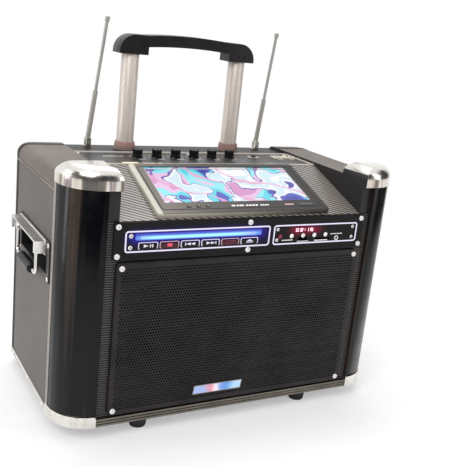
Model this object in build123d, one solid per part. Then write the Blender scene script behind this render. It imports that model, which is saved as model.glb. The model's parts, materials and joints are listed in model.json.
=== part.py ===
from build123d import *
from math import atan2, cos, degrees, hypot, radians, sin, tan
import os

# Trolley loudspeaker with a disc player, a monitor on its sloped top and a pull-out handle.
# Millimetres. +Z is up, the front faces -Y. Each size that can be set is named here once.

# Cabinet boards
cabinet_width = 480.0
cabinet_depth = 266.0
cabinet_height = 312.0
foot_height = 20.0
board = 12.0
lid_thickness = 18.0
rear_board = 10.0
rear_radius = 24.0
top_edge_radius = 14.0

# Front columns, trims and chrome corners
column_radius = 48.0
column_wall = 4.0
column_lip = 18.0
trim_width = 8.0
trim_proud = 0.8
chrome_proud = 1.0
chrome_wall = 2.0
chrome_foot_height = 15.0
cap_height = 27.0
cap_rise = 18.0
cap_dome_radius = 16.0

# Cheeks, sloped panel and the flat top behind it
cheek_width = 64.0
cheek_wall = 16.0
slope_drop = 47.0
slope_depth = 126.0
slope_thickness = 4.0
front_recess = 6.0
top_sink = 5.0
control_length = 84.0
control_thickness = 3.0

# Front: rail, plate, grille, woofer and tweeter
rail_height = 10.5
rail_depth = 18.0
rail_groove = 1.4
rail_groove_count = 2
rail_groove_pitch = 3.6
plate_height = 47.0
plate_side_margin = 9.0
plate_top_margin = 0.5
plate_thickness = 3.5
plate_corner = 3.0
outline_width = 1.8
outline_proud = 0.8
outline_corner = 4.0
grille_side_margin = 14.0
grille_margin = 2.5
grille_depth = 6.5
grille_wall = 1.5
grille_corner = 6.0
woofer_radius = 96.0
woofer_depth = 92.0
woofer_offset = 60.0
magnet_radius = 44.0
magnet_height = 28.0
tweeter_radius = 38.0
tweeter_offset = 108.0
tweeter_depth = 40.0
tweeter_throat = 10.0
driver_rim = 8.0
driver_flange = 3.5
driver_wall = 2.0
cone_lap = 12.0
cone_wall = 1.5
surround_width = 10.0

# Disc unit
disc_unit_width = 200.0
disc_unit_margin = 14.0
unit_height = 27.0
unit_low_margin = 9.5
tray_front_width = 173.0
tray_front_height = 8.6
tray_front_thickness = 4.2
tray_width = 140.0
tray_hold = 38.0
tray_thickness = 4.0
tray_travel = 118.0
disc_seat_radius = 61.0
disc_seat_depth = 1.5
disc_seat_margin = 14.0
tray_slot_width = 36.0
chassis_wall = 2.0
chassis_depth = 168.0
chassis_lower_space = 12.0
chassis_upper_space = 8.0
flange_inset = 2.0
flange_drop = 6.0
runner_width = 5.0
post_radius = 2.5
spindle_radius = 14.0
spindle_shaft_radius = 2.0
hub_radius = 7.4
hub_height = 2.5
motor_radius = 11.0
motor_height = 8.0
motor_bore_depth = 6.0

# Buttons
disc_button_count = 6
disc_button_pitch = 28.0
disc_button_width = 22.5
disc_button_height = 6.4
disc_button_margin = 3.6
button_proud = 1.2
button_travel = 1.0
key_corner = 1.5
shoulder_lap = 1.0
shoulder_thickness = 1.2
stem_length = 2.2
stem_radius = 2.0
board_thickness = 1.6
opening_margin = 8.0

# Media module
module_width = 135.5
module_depth = 46.0
module_margin = 2.6
module_side_margin = 11.0
round_button_count = 5
round_button_radius = 3.1
round_button_pitch = 18.2
round_button_start = 10.5
round_button_rise = 11.4
display_width = 40.0
display_height = 6.4
display_start = 31.0
display_rise = 18.6
usb_width = 13.4
usb_height = 5.2
port_depth = 14.0
port_drop = 1.8
usb_start = 41.0
card_width = 25.0
card_height = 2.6
card_start = 68.0
small_jack_radius = 1.8
small_jack_start = 103.0
port_rise = 5.4
module_sink = 0.6
display_sink = 1.0
round_button_length = 8.0
button_edge = 0.6

# Monitor
monitor_width = 254.0
monitor_height = 119.0
monitor_thickness = 13.0
monitor_proud = 6.0
monitor_edge = 2.0
monitor_corner = 6.0
monitor_rise = 3.5
monitor_lap = 6.0
screen_width = 218.0
screen_height = 85.0
screen_rise = 25.0
screen_sink = 1.6
screen_thickness = 4.0

# Control panel pieces
knob_count = 6
knob_pitch = 29.2
knob_start = 87.5
knob_radius = 6.5
knob_height = 10.0
knob_lift = 0.4
knob_edge = 1.2
knob_skirt = 1.2
knob_skirt_height = 2.0
knob_groove = 1.2
knob_inset = 56.0
knob_shaft_radius = 3.0
knob_shaft_length = 12.0
jack_count = 2
jack_pitch = 21.0
jack_end_margin = 12.0
jack_radius = 3.25
jack_collar_radius = 5.6
jack_collar_height = 2.0
jack_lap = 1.0
jack_length = 24.0
jack_inset = 58.0

# Trolley handle
tube_spacing = 172.0
tube_radius = 12.5
tube_wall = 1.6
tube_inset = 25.0
tube_rise = 148.0
tube_travel = 120.0
sleeve_wall = 1.8
sleeve_floor = 3.0
sleeve_collar = 0.6
sleeve_collar_height = 8.0
grip_end_width = 43.0
grip_depth = 30.0
grip_height = 27.0
grip_bar_height = 16.0
grip_arch = 3.0
grip_corner = 24.0
grip_socket_depth = 11.0

# Antennas
antenna_spacing = 280.0
antenna_inset = 18.0
antenna_base_radius = 5.6
antenna_base_height = 3.5
antenna_pivot_height = 11.5
antenna_fork_gap = 6.0
antenna_fork_wall = 3.0
antenna_pin_radius = 1.5
antenna_lower_radius = 3.5
antenna_lower_length = 70.0
antenna_upper_radius = 2.3
antenna_upper_length = 109.0
antenna_upper_overlap = 12.0
antenna_tip_radius = 3.4
antenna_tip_length = 7.0
antenna_travel = 48.0
antenna_lean_left = 6.5
antenna_lean_right = 5.5

# Side handles
handle_width = 150.0
handle_height = 54.0
handle_corner = 4.0
handle_flange = 2.0
handle_recess = 16.0
handle_recess_margin = 9.0
handle_wall = 1.6
handle_below_top = 114.0
handle_behind_trim = 4.0
bracket_thickness = 1.6
bracket_height = 20.0
ear_width = 7.0
ear_reach = 13.0
ear_height = 14.0
bail_radius = 2.6
bail_bend = 7.0
bail_drop = 38.0
bail_span = 96.0
bail_grip_radius = 6.5
bail_grip_length = 56.0
bail_grip_edge = 2.0

# Wheels, feet, rear plate and the works inside
wheel_radius = 28.0
wheel_width = 22.0
wheel_inset = 14.0
wheel_clearance = 5.0
wheel_side_gap = 0.4
housing_wall = 5.6
housing_roof = 3.0
wheel_edge = 3.0
wheel_dish_radius = 18.0
wheel_dish_depth = 3.0
axle_radius = 4.0
foot_radius = 13.5
foot_taper = 3.0
foot_spacing = 250.0
foot_inset = 25.0
rear_plate_width = 130.0
rear_plate_height = 160.0
rear_plate_rise = 50.0
rear_plate_thickness = 2.0
rear_plate_lap = 8.0
rear_plate_corner = 4.0
inlet_width = 28.0
inlet_height = 20.0
inlet_depth = 16.0
inlet_wall = 2.0
inlet_rise = 116.0
inlet_offset = 30.0
inlet_pin = 4.0
inlet_pin_pitch = 7.0
rocker_width = 14.0
rocker_height = 21.0
rocker_body = 12.0
rocker_wall = 1.5
rocker_offset = 30.0
rocker_angle = 20.0
rocker_pin_radius = 1.5
heat_sink_width = 96.0
heat_sink_height = 62.0
heat_sink_depth = 30.0
heat_sink_fin = 3.0
heat_sink_fins = 9
heat_sink_base = 5.0
heat_sink_rise = 14.0
transformer_width = 80.0
transformer_depth = 56.0
transformer_height = 66.0
transformer_side_margin = 48.0
winding_margin = 12.0
transformer_back_margin = 24.0
battery_width = 151.0
battery_depth = 65.0
battery_height = 94.0
battery_back_margin = 60.0
battery_edge = 3.0
terminal_margin = 14.0
terminal_width = 6.0
terminal_thickness = 1.0

# Screws
screw_radius = 3.6
screw_head = 1.8
screw_edge = 1.2
screw_slot = 0.8
screw_slot_length = 4.4
screw_shank_radius = 1.6
screw_inset = 5.2
screw_shank_length = 7.0

# Clearances
slide_gap = 0.3
pin_gap = 0.05
press_gap = 0.2

# Levels and places worked out from the sizes above
half_width = cabinet_width / 2
base_z = foot_height
top_z = base_z + cabinet_height
rear_y = cabinet_depth
column_x = half_width - column_radius
trim_end_y = column_radius + trim_width
cheek_x = half_width - cheek_width
lid_z = top_z - lid_thickness
cap_z = top_z + cap_rise - cap_height
chrome_foot_z = base_z + chrome_foot_height
slope_foot_z = top_z - slope_drop
flat_z = top_z - top_sink
slope_run = slope_depth - front_recess
slope_rise = flat_z - slope_foot_z
slope_length = hypot(slope_run, slope_rise)
slope_angle = degrees(atan2(slope_rise, slope_run))
control_end_y = slope_depth + control_length
rail_top_z = base_z + rail_height
plate_front_y = front_recess - plate_thickness
plate_half = column_x - plate_side_margin
plate_top_z = slope_foot_z - plate_top_margin
plate_low_z = plate_top_z - plate_height
unit_low_z = plate_low_z + unit_low_margin
unit_high_z = unit_low_z + unit_height
disc_unit_low_x = -plate_half + disc_unit_margin
disc_unit_x = disc_unit_low_x + disc_unit_width / 2
module_high_x = plate_half - module_side_margin
module_low_x = module_high_x - module_width
module_front_y = plate_front_y + module_sink
grille_half = column_x - grille_side_margin
grille_low_z = rail_top_z + grille_margin
grille_high_z = plate_low_z - grille_margin
driver_z = (grille_low_z + grille_high_z) / 2
button_low_z = unit_low_z + disc_button_margin
round_button_z = unit_low_z + round_button_rise
port_z = unit_low_z + port_rise
button_z = button_low_z + disc_button_height / 2
tray_front_z = unit_high_z - disc_button_margin - tray_front_height / 2
tray_z = tray_front_z - tray_thickness / 2
tray_back_y = front_recess + tray_travel + tray_hold
disc_y = front_recess + disc_seat_radius + disc_seat_margin
chassis_y = front_recess + board
chassis_low_z = tray_z - chassis_lower_space
chassis_high_z = tray_z + tray_thickness + chassis_upper_space
sleeve_radius = tube_radius + slide_gap + sleeve_wall
sleeve_floor_z = base_z + board + sleeve_floor
tube_x = tube_spacing / 2
tube_y = rear_y - tube_inset
antenna_x = antenna_spacing / 2
antenna_y = rear_y - antenna_inset
pivot_z = flat_z + antenna_pivot_height
handle_y = trim_end_y + handle_behind_trim + handle_width / 2
handle_z = top_z - handle_below_top
bail_pivot_z = handle_z + handle_height / 2 - bracket_height / 2
bail_x = half_width + handle_flange + bracket_thickness + ear_reach / 2
well_high_x = half_width - rear_radius
well_low_x = well_high_x - wheel_width - 2 * (housing_wall + wheel_side_gap)
wheel_x = (well_low_x + well_high_x) / 2
wheel_y = rear_y - wheel_inset
well_y = wheel_y - wheel_radius - wheel_clearance
well_z = wheel_radius * 2 + wheel_clearance
rear_plate_z = base_z + rear_plate_rise
rocker_z = rear_plate_z + inlet_rise
knob_y = slope_depth + knob_inset
jack_y = slope_depth + jack_inset


def block(x0, x1, y0, y1, z0, z1):
    """A box between two corners."""
    centre = Pos((x0 + x1) / 2, (y0 + y1) / 2, (z0 + z1) / 2)
    return centre * Box(x1 - x0, y1 - y0, z1 - z0)


def rod_z(x, y, z0, z1, radius):
    return Pos(x, y, (z0 + z1) / 2) * Cylinder(radius, z1 - z0)


def rod_y(x, y0, y1, z, radius):
    return Pos(x, (y0 + y1) / 2, z) * Rot(90, 0, 0) * Cylinder(radius, y1 - y0)


def rod_x(x0, x1, y, z, radius):
    return Pos((x0 + x1) / 2, y, z) * Rot(0, 90, 0) * Cylinder(radius, x1 - x0)


def mirrored(shape):
    """The same piece on the other side of the middle plane."""
    return mirror(shape, about=Plane.YZ)


def group(pieces):
    """Several solids of one node."""
    return Compound([solid for piece in pieces for solid in piece.solids()])


def pair(shape):
    """A left piece and its right-hand twin."""
    return group([shape, mirrored(shape)])


def plate_xz(width, height, radius, y0, y1):
    """A rounded rectangle in the XZ plane, centred on the axis, from y0 to y1."""
    face = Plane.XZ * RectangleRounded(width, height, radius)
    return Pos(0, y1, 0) * extrude(face, amount=y1 - y0)


def on_slope(shape):
    """Moves a shape drawn flat, with y = 0 at the slope's foot, onto the sloped panel."""
    return Pos(0, front_recess, slope_foot_z) * Rot(slope_angle, 0, 0) * shape


def rectangle(x0, x1, y0, y1):
    return Pos((x0 + x1) / 2, (y0 + y1) / 2) * Rectangle(x1 - x0, y1 - y0)


def corner_face(outer_x, outer_y, radius, inner_x, end_y):
    """Plan of the front left corner: round outside, straight at inner_x and end_y."""
    whole = rectangle(outer_x, inner_x, outer_y, end_y)
    square = rectangle(outer_x, outer_x + radius, outer_y, outer_y + radius)
    disc = Pos(outer_x + radius, outer_y + radius) * Circle(radius)
    return (whole - square) + (disc & square)


def left_side_panel():
    panel = block(
        -half_width, -half_width + board, trim_end_y, rear_y - rear_radius, base_z, lid_z
    )
    opening = block(
        -half_width - 1,
        -half_width + board + 1,
        handle_y - handle_width / 2 + handle_recess_margin - press_gap,
        handle_y + handle_width / 2 - handle_recess_margin + press_gap,
        handle_z - handle_height / 2 + handle_recess_margin - press_gap,
        handle_z + handle_height / 2 - handle_recess_margin + press_gap,
    )
    return panel - opening


def wheel_well(side):
    """The space that a wheel housing takes out of the bottom and rear boards."""
    low = well_low_x if side > 0 else -well_high_x
    high = well_high_x if side > 0 else -well_low_x
    return block(low, high, well_y, rear_y + 1, base_z - 1, well_z)


def bottom_panel():
    inner = half_width - board
    panel = block(-inner, inner, rail_depth, rear_y - rear_board, base_z, base_z + board)
    core_radius = column_radius - column_wall - press_gap
    for side in (-1, 1):
        edge = side * half_width
        corner = block(
            min(side * column_x, edge), max(side * column_x, edge), 0, column_radius, 0, top_z
        )
        corner -= rod_z(side * column_x, column_radius, 0, top_z, core_radius)
        panel -= corner
        post_x = side * (half_width - rear_radius)
        panel -= block(
            min(post_x, edge), max(post_x, edge), rear_y - rear_radius, rear_y, 0, top_z
        )
        panel -= wheel_well(side)
    return panel


def rear_shell():
    """Rear board with a rounded post at each end, open for the rear plate and the wheels."""
    inner = half_width - rear_radius
    shell = block(-inner, inner, rear_y - rear_board, rear_y, base_z, lid_z)
    for side in (-1, 1):
        post = rod_z(side * inner, rear_y - rear_radius, base_z, lid_z, rear_radius)
        edge = side * half_width
        quarter = block(
            min(side * inner, edge), max(side * inner, edge), rear_y - rear_radius, rear_y, 0, top_z
        )
        shell += post & quarter
    shell -= block(-cheek_x, cheek_x, 0, rear_y + 1, flat_z - board, top_z)
    shell -= block(
        -rear_plate_width / 2 + rear_plate_lap,
        rear_plate_width / 2 - rear_plate_lap,
        rear_y - rear_board - 1,
        rear_y + 1,
        rear_plate_z + rear_plate_lap,
        rear_plate_z + rear_plate_height - rear_plate_lap,
    )
    for side in (-1, 1):
        shell -= wheel_well(side)
    return shell


def left_cheek():
    """Raised side of the top: a lid board and the wall beside the sloped panel."""
    lid = block(-half_width, -cheek_x, trim_end_y, rear_y, lid_z, top_z)
    rear_corner = lid.edges().filter_by(Axis.Z).sort_by(Axis.Y)[-2:].sort_by(Axis.X)[0]
    lid = fillet(rear_corner, rear_radius)
    rim = [
        e
        for e in lid.faces().sort_by(Axis.Z)[-1].edges()
        if e.center().X < -cheek_x - 1 and e.center().Y > trim_end_y + 1
    ]
    lid = fillet(rim, top_edge_radius)
    wall_x = -cheek_x - cheek_wall
    wall = block(wall_x, -cheek_x, front_recess, trim_end_y, slope_foot_z, cap_z)
    wall += block(wall_x, -cheek_x, trim_end_y, rear_y - rear_board, slope_foot_z, lid_z)
    return lid + wall


def left_column():
    """Quarter-round hollow post with a lip that holds the edge of the baffle."""
    height = cap_z - chrome_foot_z
    ring = Pos(-column_x, column_radius) * (
        Circle(column_radius) - Circle(column_radius - column_wall)
    )
    quarter = Pos(-column_x - column_radius / 2, column_radius / 2) * Rectangle(
        column_radius, column_radius
    )
    lip = Pos(-column_x - column_wall / 2, column_wall / 2 + column_lip / 2) * Rectangle(
        column_wall, column_lip
    )
    profile = (ring & quarter) + lip
    return Pos(0, 0, chrome_foot_z) * extrude(profile, amount=height)


def left_trim():
    return block(
        -half_width - trim_proud,
        -half_width + board,
        column_radius,
        trim_end_y,
        chrome_foot_z,
        cap_z,
    )


def left_cap():
    """Top corner cap: a solid dome over a band that is hollow underneath."""
    outer = -half_width - chrome_proud
    radius = column_radius + chrome_proud
    face = corner_face(outer, -chrome_proud, radius, -cheek_x, trim_end_y)
    dome = extrude(face, amount=cap_height)
    dome = fillet(dome.faces().sort_by(Axis.Z)[-1].edges(), cap_dome_radius)
    hollow = corner_face(
        outer + chrome_wall,
        -chrome_proud + chrome_wall,
        radius - chrome_wall,
        -cheek_x - chrome_wall,
        trim_end_y - chrome_wall,
    )
    dome -= extrude(hollow, amount=cap_height - cap_dome_radius - chrome_wall)
    return Pos(0, 0, cap_z) * dome


def left_chrome_foot():
    """Chrome band round the foot of a column."""
    radius = column_radius + chrome_proud
    outer = corner_face(-half_width - chrome_proud, -chrome_proud, radius, -column_x, trim_end_y)
    wall = column_wall + chrome_proud
    inner = corner_face(
        -half_width - chrome_proud + wall,
        -chrome_proud + wall,
        radius - wall,
        -column_x + 1,
        trim_end_y + 1,
    )
    return Pos(0, 0, base_z) * extrude(outer - inner, amount=chrome_foot_height)


def chrome_corners():
    cap = left_cap()
    foot = left_chrome_foot()
    pieces = [cap, mirrored(cap), foot, mirrored(foot)]
    return group(pieces)


def bottom_rail():
    """Grooved profile along the foot of the front."""
    rail = block(-column_x, column_x, 0, rail_depth, base_z, rail_top_z)
    for step in range(rail_groove_count):
        z = base_z + rail_height / 2 + (step - (rail_groove_count - 1) / 2) * rail_groove_pitch
        rail -= block(
            -column_x - 1, column_x + 1, -1, rail_groove, z - rail_groove / 2, z + rail_groove / 2
        )
    return rail


def slope_blank():
    blank = block(-cheek_x, cheek_x, 0, slope_length, -slope_thickness, 0)
    return on_slope(blank)


def monitor_window(grow, low, high):
    """The monitor's outline on the slope, grown by grow, between two heights."""
    face = RectangleRounded(monitor_width + 2 * grow, monitor_height + 2 * grow, monitor_corner)
    centre_y = monitor_rise + monitor_height / 2
    return Pos(0, centre_y, low) * extrude(face, amount=high - low)


def slope_panel():
    """Patterned sloped panel with the monitor's window."""
    behind = block(-half_width, half_width, slope_depth, rear_y, 0, top_z)
    window = on_slope(monitor_window(-monitor_lap, -slope_thickness - 1, 1))
    return slope_blank() - window - behind


def baffle():
    """Front board that carries the plate, the grille and both drivers."""
    panel = block(-column_x, column_x, front_recess, front_recess + board, rail_top_z, slope_foot_z)
    front = front_recess - 1
    back = front_recess + board + 1
    panel -= rod_y(-woofer_offset, front, back, driver_z, woofer_radius - driver_rim)
    panel -= rod_y(tweeter_offset, front, back, driver_z, tweeter_radius - driver_rim)
    panel -= block(
        disc_unit_low_x + opening_margin,
        disc_unit_low_x + disc_unit_width - opening_margin,
        front,
        back,
        button_low_z - shoulder_lap - slide_gap,
        tray_front_z + tray_front_height / 2 + slide_gap,
    )
    panel -= block(
        module_low_x + module_margin - press_gap,
        module_high_x - module_margin + press_gap,
        front,
        back,
        unit_low_z + module_margin - press_gap,
        unit_high_z - module_margin + press_gap,
    )
    housing = monitor_window(-monitor_lap, monitor_proud - monitor_thickness - slide_gap, 0)
    return panel - slope_blank() - on_slope(housing)


def grille():
    """Formed sheet with a turned-back rim. It bears on the baffle."""
    width = 2 * grille_half
    height = grille_high_z - grille_low_z
    front = front_recess - grille_depth
    outer = plate_xz(width, height, grille_corner, front, front_recess)
    inner = plate_xz(
        width - 2 * grille_wall,
        height - 2 * grille_wall,
        grille_corner - grille_wall,
        front + grille_wall,
        front_recess + 1,
    )
    return Pos(0, 0, driver_z) * (outer - inner)


def button_x(index):
    return disc_unit_x + (index - (disc_button_count - 1) / 2) * disc_button_pitch


def round_button_x(index):
    return module_low_x + round_button_start + index * round_button_pitch


def outline_frame(low_x, high_x):
    """Raised outline round a unit of the player plate."""
    width = high_x - low_x
    outer = plate_xz(width, unit_height, outline_corner, plate_front_y - outline_proud, plate_front_y)
    inner = plate_xz(
        width - 2 * outline_width,
        unit_height - 2 * outline_width,
        outline_corner - outline_width,
        plate_front_y - outline_proud - 1,
        plate_front_y + 1,
    )
    return Pos((low_x + high_x) / 2, 0, (unit_low_z + unit_high_z) / 2) * (outer - inner)


def player_plate():
    """Black plate with the tray slot, the button windows and the module's window."""
    plate = plate_xz(2 * plate_half, plate_height, plate_corner, plate_front_y, front_recess)
    plate = Pos(0, 0, (plate_top_z + plate_low_z) / 2) * plate
    plate += outline_frame(disc_unit_low_x, disc_unit_low_x + disc_unit_width)
    plate += outline_frame(module_low_x, module_high_x)
    front = plate_front_y - 1
    back = front_recess + 1
    plate -= block(
        disc_unit_x - tray_front_width / 2 - slide_gap,
        disc_unit_x + tray_front_width / 2 + slide_gap,
        front,
        back,
        tray_front_z - tray_front_height / 2 - slide_gap,
        tray_front_z + tray_front_height / 2 + slide_gap,
    )
    for index in range(disc_button_count):
        x = button_x(index)
        reach = disc_button_width / 2 + slide_gap
        plate -= block(
            x - reach,
            x + reach,
            front,
            back,
            button_low_z - slide_gap,
            button_low_z + disc_button_height + slide_gap,
        )
    plate -= block(
        module_low_x + module_margin - press_gap,
        module_high_x - module_margin + press_gap,
        front,
        back,
        unit_low_z + module_margin - press_gap,
        unit_high_z - module_margin + press_gap,
    )
    return plate


def disc_button(index):
    """Oblong key with a shoulder behind the plate and a stem towards its board."""
    x = button_x(index)
    reach = disc_button_width / 2
    cap = block(
        x - reach,
        x + reach,
        plate_front_y - button_proud,
        front_recess + slide_gap,
        button_low_z,
        button_low_z + disc_button_height,
    )
    cap = fillet(cap.edges().filter_by(Axis.Y), key_corner)
    seat_y = front_recess + slide_gap
    shoulder = block(
        x - reach - shoulder_lap,
        x + reach + shoulder_lap,
        seat_y,
        seat_y + shoulder_thickness,
        button_low_z - shoulder_lap,
        button_low_z + disc_button_height + shoulder_lap,
    )
    stem_end = seat_y + shoulder_thickness + stem_length
    return cap + shoulder + rod_y(x, seat_y + shoulder_thickness, stem_end, button_z, stem_radius)


def media_module():
    """USB and card module: a housing with its ports, display recess and button holes."""
    body = block(
        module_low_x + module_margin,
        module_high_x - module_margin,
        module_front_y,
        module_front_y + module_depth,
        unit_low_z + module_margin,
        unit_high_z - module_margin,
    )
    before = module_front_y - 1
    hole_end = module_front_y + round_button_length + button_travel + slide_gap
    for index in range(round_button_count):
        hole = round_button_radius + slide_gap
        body -= rod_y(round_button_x(index), before, hole_end, round_button_z, hole)
    display_x = module_low_x + display_start
    display_z = unit_low_z + display_rise
    body -= block(
        display_x,
        display_x + display_width,
        before,
        module_front_y + display_sink,
        display_z - display_height / 2,
        display_z + display_height / 2,
    )
    usb_x = module_low_x + usb_start
    port_end = module_front_y + port_depth
    usb_low = port_z - port_drop
    body -= block(usb_x, usb_x + usb_width, before, port_end, usb_low, usb_low + usb_height)
    card_x = module_low_x + card_start
    card_low = port_z - card_height / 2
    body -= block(card_x, card_x + card_width, before, port_end, card_low, card_low + card_height)
    jack_end = module_front_y + port_depth
    return body - rod_y(module_low_x + small_jack_start, before, jack_end, port_z, small_jack_radius)


def module_button(index):
    """Round push button that runs in a hole of the module."""
    low = module_front_y - button_proud
    high = module_front_y + round_button_length
    stem = rod_y(round_button_x(index), low, high, round_button_z, round_button_radius)
    return fillet(stem.edges().sort_by(Axis.Y)[0], button_edge)


def disc_chassis():
    """Folded box with runners, spindle motor, mounting flange and the button board."""
    half = tray_width / 2 + slide_gap
    low_x = disc_unit_x - half - chassis_wall
    high_x = disc_unit_x + half + chassis_wall
    end_y = chassis_y + chassis_depth
    box = block(
        low_x, high_x, chassis_y, end_y, chassis_low_z - chassis_wall, chassis_high_z + chassis_wall
    )
    box += block(
        disc_unit_low_x + flange_inset,
        disc_unit_low_x + disc_unit_width - flange_inset,
        chassis_y,
        chassis_y + chassis_wall,
        chassis_low_z - flange_drop,
        chassis_high_z + chassis_wall,
    )
    box -= block(
        low_x + chassis_wall,
        high_x - chassis_wall,
        chassis_y + chassis_wall,
        end_y - chassis_wall,
        chassis_low_z,
        chassis_high_z,
    )
    box -= block(
        low_x + chassis_wall,
        high_x - chassis_wall,
        chassis_y - 1,
        chassis_y + chassis_wall + 1,
        tray_z - slide_gap,
        chassis_high_z,
    )
    runner_top = tray_z - slide_gap
    for x0 in (low_x + chassis_wall, high_x - chassis_wall - runner_width):
        box += block(
            x0, x0 + runner_width, chassis_y, end_y - chassis_wall, chassis_low_z, runner_top
        )
    motor_top = chassis_low_z + motor_height
    box += rod_z(disc_unit_x, disc_y, chassis_low_z, motor_top, motor_radius)
    box -= rod_z(
        disc_unit_x,
        disc_y,
        motor_top - motor_bore_depth,
        motor_top + 1,
        spindle_shaft_radius + pin_gap,
    )
    board_y = front_recess + slide_gap + shoulder_thickness + stem_length + button_travel + slide_gap
    reach = (disc_button_count - 1) / 2 * disc_button_pitch + disc_button_width / 2
    key_board = block(
        disc_unit_x - reach,
        disc_unit_x + reach,
        board_y,
        board_y + board_thickness,
        button_low_z,
        button_low_z + disc_button_height,
    )
    for side in (-1, 0, 1):
        x = disc_unit_x + side * (reach - post_radius)
        key_board += rod_y(x, board_y, chassis_y, button_z, post_radius)
    return box + key_board


def disc_tray():
    """Sliding tray: front flap, disc seat and the slot that clears the spindle."""
    flap = block(
        disc_unit_x - tray_front_width / 2,
        disc_unit_x + tray_front_width / 2,
        front_recess - tray_front_thickness,
        front_recess,
        tray_front_z - tray_front_height / 2,
        tray_front_z + tray_front_height / 2,
    )
    flap = fillet(flap.edges().filter_by(Axis.Y), key_corner)
    low_x = disc_unit_x - tray_width / 2
    high_x = disc_unit_x + tray_width / 2
    deck = block(low_x, high_x, front_recess, tray_back_y, tray_z, tray_z + tray_thickness)
    top = tray_z + tray_thickness
    deck -= rod_z(disc_unit_x, disc_y, top - disc_seat_depth, top + 1, disc_seat_radius)
    deck -= rod_z(disc_unit_x, disc_y, tray_z - 1, top + 1, tray_slot_width / 2)
    deck -= block(
        disc_unit_x - tray_slot_width / 2,
        disc_unit_x + tray_slot_width / 2,
        disc_y,
        tray_back_y + 1,
        tray_z - 1,
        top + 1,
    )
    return flap + deck


def spindle():
    """Turntable that turns the disc, on its shaft in the motor."""
    motor_top = chassis_low_z + motor_height
    hub_z = tray_z + tray_thickness - disc_seat_depth
    shaft_low = motor_top - motor_bore_depth + slide_gap
    piece = rod_z(disc_unit_x, disc_y, shaft_low, motor_top + 1.0, spindle_shaft_radius)
    piece += rod_z(disc_unit_x, disc_y, motor_top + slide_gap, hub_z, spindle_radius)
    return piece + rod_z(disc_unit_x, disc_y, hub_z, hub_z + hub_height, hub_radius)


def turned(points, x):
    """A solid turned about the line through x at the drivers' height: radius, depth pairs."""
    with BuildPart() as solid:
        with BuildSketch(Plane.XZ):
            with BuildLine():
                Polyline(*[(radius, -depth) for radius, depth in points], close=True)
            make_face()
        revolve(axis=Axis.Z)
    return Pos(x, front_recess - driver_flange, driver_z) * Rot(90, 0, 0) * solid.part


def woofer():
    """Basket with its magnet, and the cone with its surround as a solid of its own."""
    neck_depth = woofer_depth - magnet_height
    opening = woofer_radius - driver_rim
    seat = opening - driver_wall
    basket = turned(
        [
            (seat - surround_width / 2, driver_flange),
            (seat, driver_flange),
            (seat, 0),
            (woofer_radius, 0),
            (woofer_radius, driver_flange),
            (opening, driver_flange),
            (magnet_radius, neck_depth),
            (magnet_radius, woofer_depth),
            (0, woofer_depth),
            (0, neck_depth),
            (magnet_radius - driver_wall, neck_depth - driver_wall),
        ],
        -woofer_offset,
    )
    rim = seat - slide_gap
    inner = rim - surround_width
    apex = neck_depth - cone_lap
    voice = magnet_radius / 2
    cone = turned(
        [
            (0, apex),
            (voice, apex),
            (inner, driver_flange),
            (rim, driver_flange),
            (rim, driver_flange - cone_wall),
            (inner, driver_flange - cone_wall),
            (voice, apex - cone_wall),
            (voice / 2, apex - cone_wall - cone_lap / 2),
            (0, apex - cone_wall - cone_lap / 2 - cone_wall),
        ],
        -woofer_offset,
    )
    return group([basket, cone])


def tweeter():
    """Round horn with its driver behind."""
    opening = tweeter_radius - driver_rim
    throat_depth = tweeter_depth / 2
    return turned(
        [
            (opening - driver_wall, 0),
            (tweeter_radius, 0),
            (tweeter_radius, driver_flange),
            (opening, driver_flange),
            (tweeter_throat + driver_rim, throat_depth),
            (tweeter_throat + driver_rim, tweeter_depth),
            (0, tweeter_depth),
            (0, throat_depth),
            (tweeter_throat, throat_depth),
        ],
        tweeter_offset,
    )


def monitor_frame():
    """Monitor housing, sunk through the slope, with a tray for the screen."""
    collar = monitor_window(0, 0, monitor_proud)
    collar = fillet(collar.faces().sort_by(Axis.Z)[-1].edges(), monitor_edge)
    low = monitor_proud - monitor_thickness
    body = collar + monitor_window(-monitor_lap - press_gap, low, monitor_proud / 2)
    centre_y = monitor_rise + screen_rise + screen_height / 2
    seat = block(
        -screen_width / 2 - press_gap,
        screen_width / 2 + press_gap,
        centre_y - screen_height / 2 - press_gap,
        centre_y + screen_height / 2 + press_gap,
        monitor_proud - screen_sink - screen_thickness,
        monitor_proud + 1,
    )
    return on_slope(body - seat)


def monitor_screen():
    centre_y = monitor_rise + screen_rise + screen_height / 2
    high = monitor_proud - screen_sink
    return on_slope(
        block(
            -screen_width / 2,
            screen_width / 2,
            centre_y - screen_height / 2,
            centre_y + screen_height / 2,
            high - screen_thickness,
            high,
        )
    )


def top_board():
    """Board behind the control panel with holes for the tubes."""
    panel = block(-cheek_x, cheek_x, control_end_y, rear_y, flat_z - board, flat_z)
    for side in (-1, 1):
        hole = sleeve_radius + press_gap
        panel -= rod_z(side * tube_x, tube_y, flat_z - board - 1, flat_z + 1, hole)
    return panel


def knob_x(index):
    return -cheek_x + knob_start + index * knob_pitch


def jack_x(index):
    return cheek_x - jack_end_margin - (jack_count - 1 - index) * jack_pitch


def control_panel():
    plate = block(
        -cheek_x, cheek_x, slope_depth, control_end_y, flat_z - control_thickness, flat_z
    )
    low = flat_z - control_thickness - 1
    for index in range(knob_count):
        plate -= rod_z(knob_x(index), knob_y, low, flat_z + 1, knob_shaft_radius + pin_gap)
    for index in range(jack_count):
        plate -= rod_z(jack_x(index), jack_y, low, flat_z + 1, jack_collar_radius - jack_lap + press_gap)
    return plate


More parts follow.
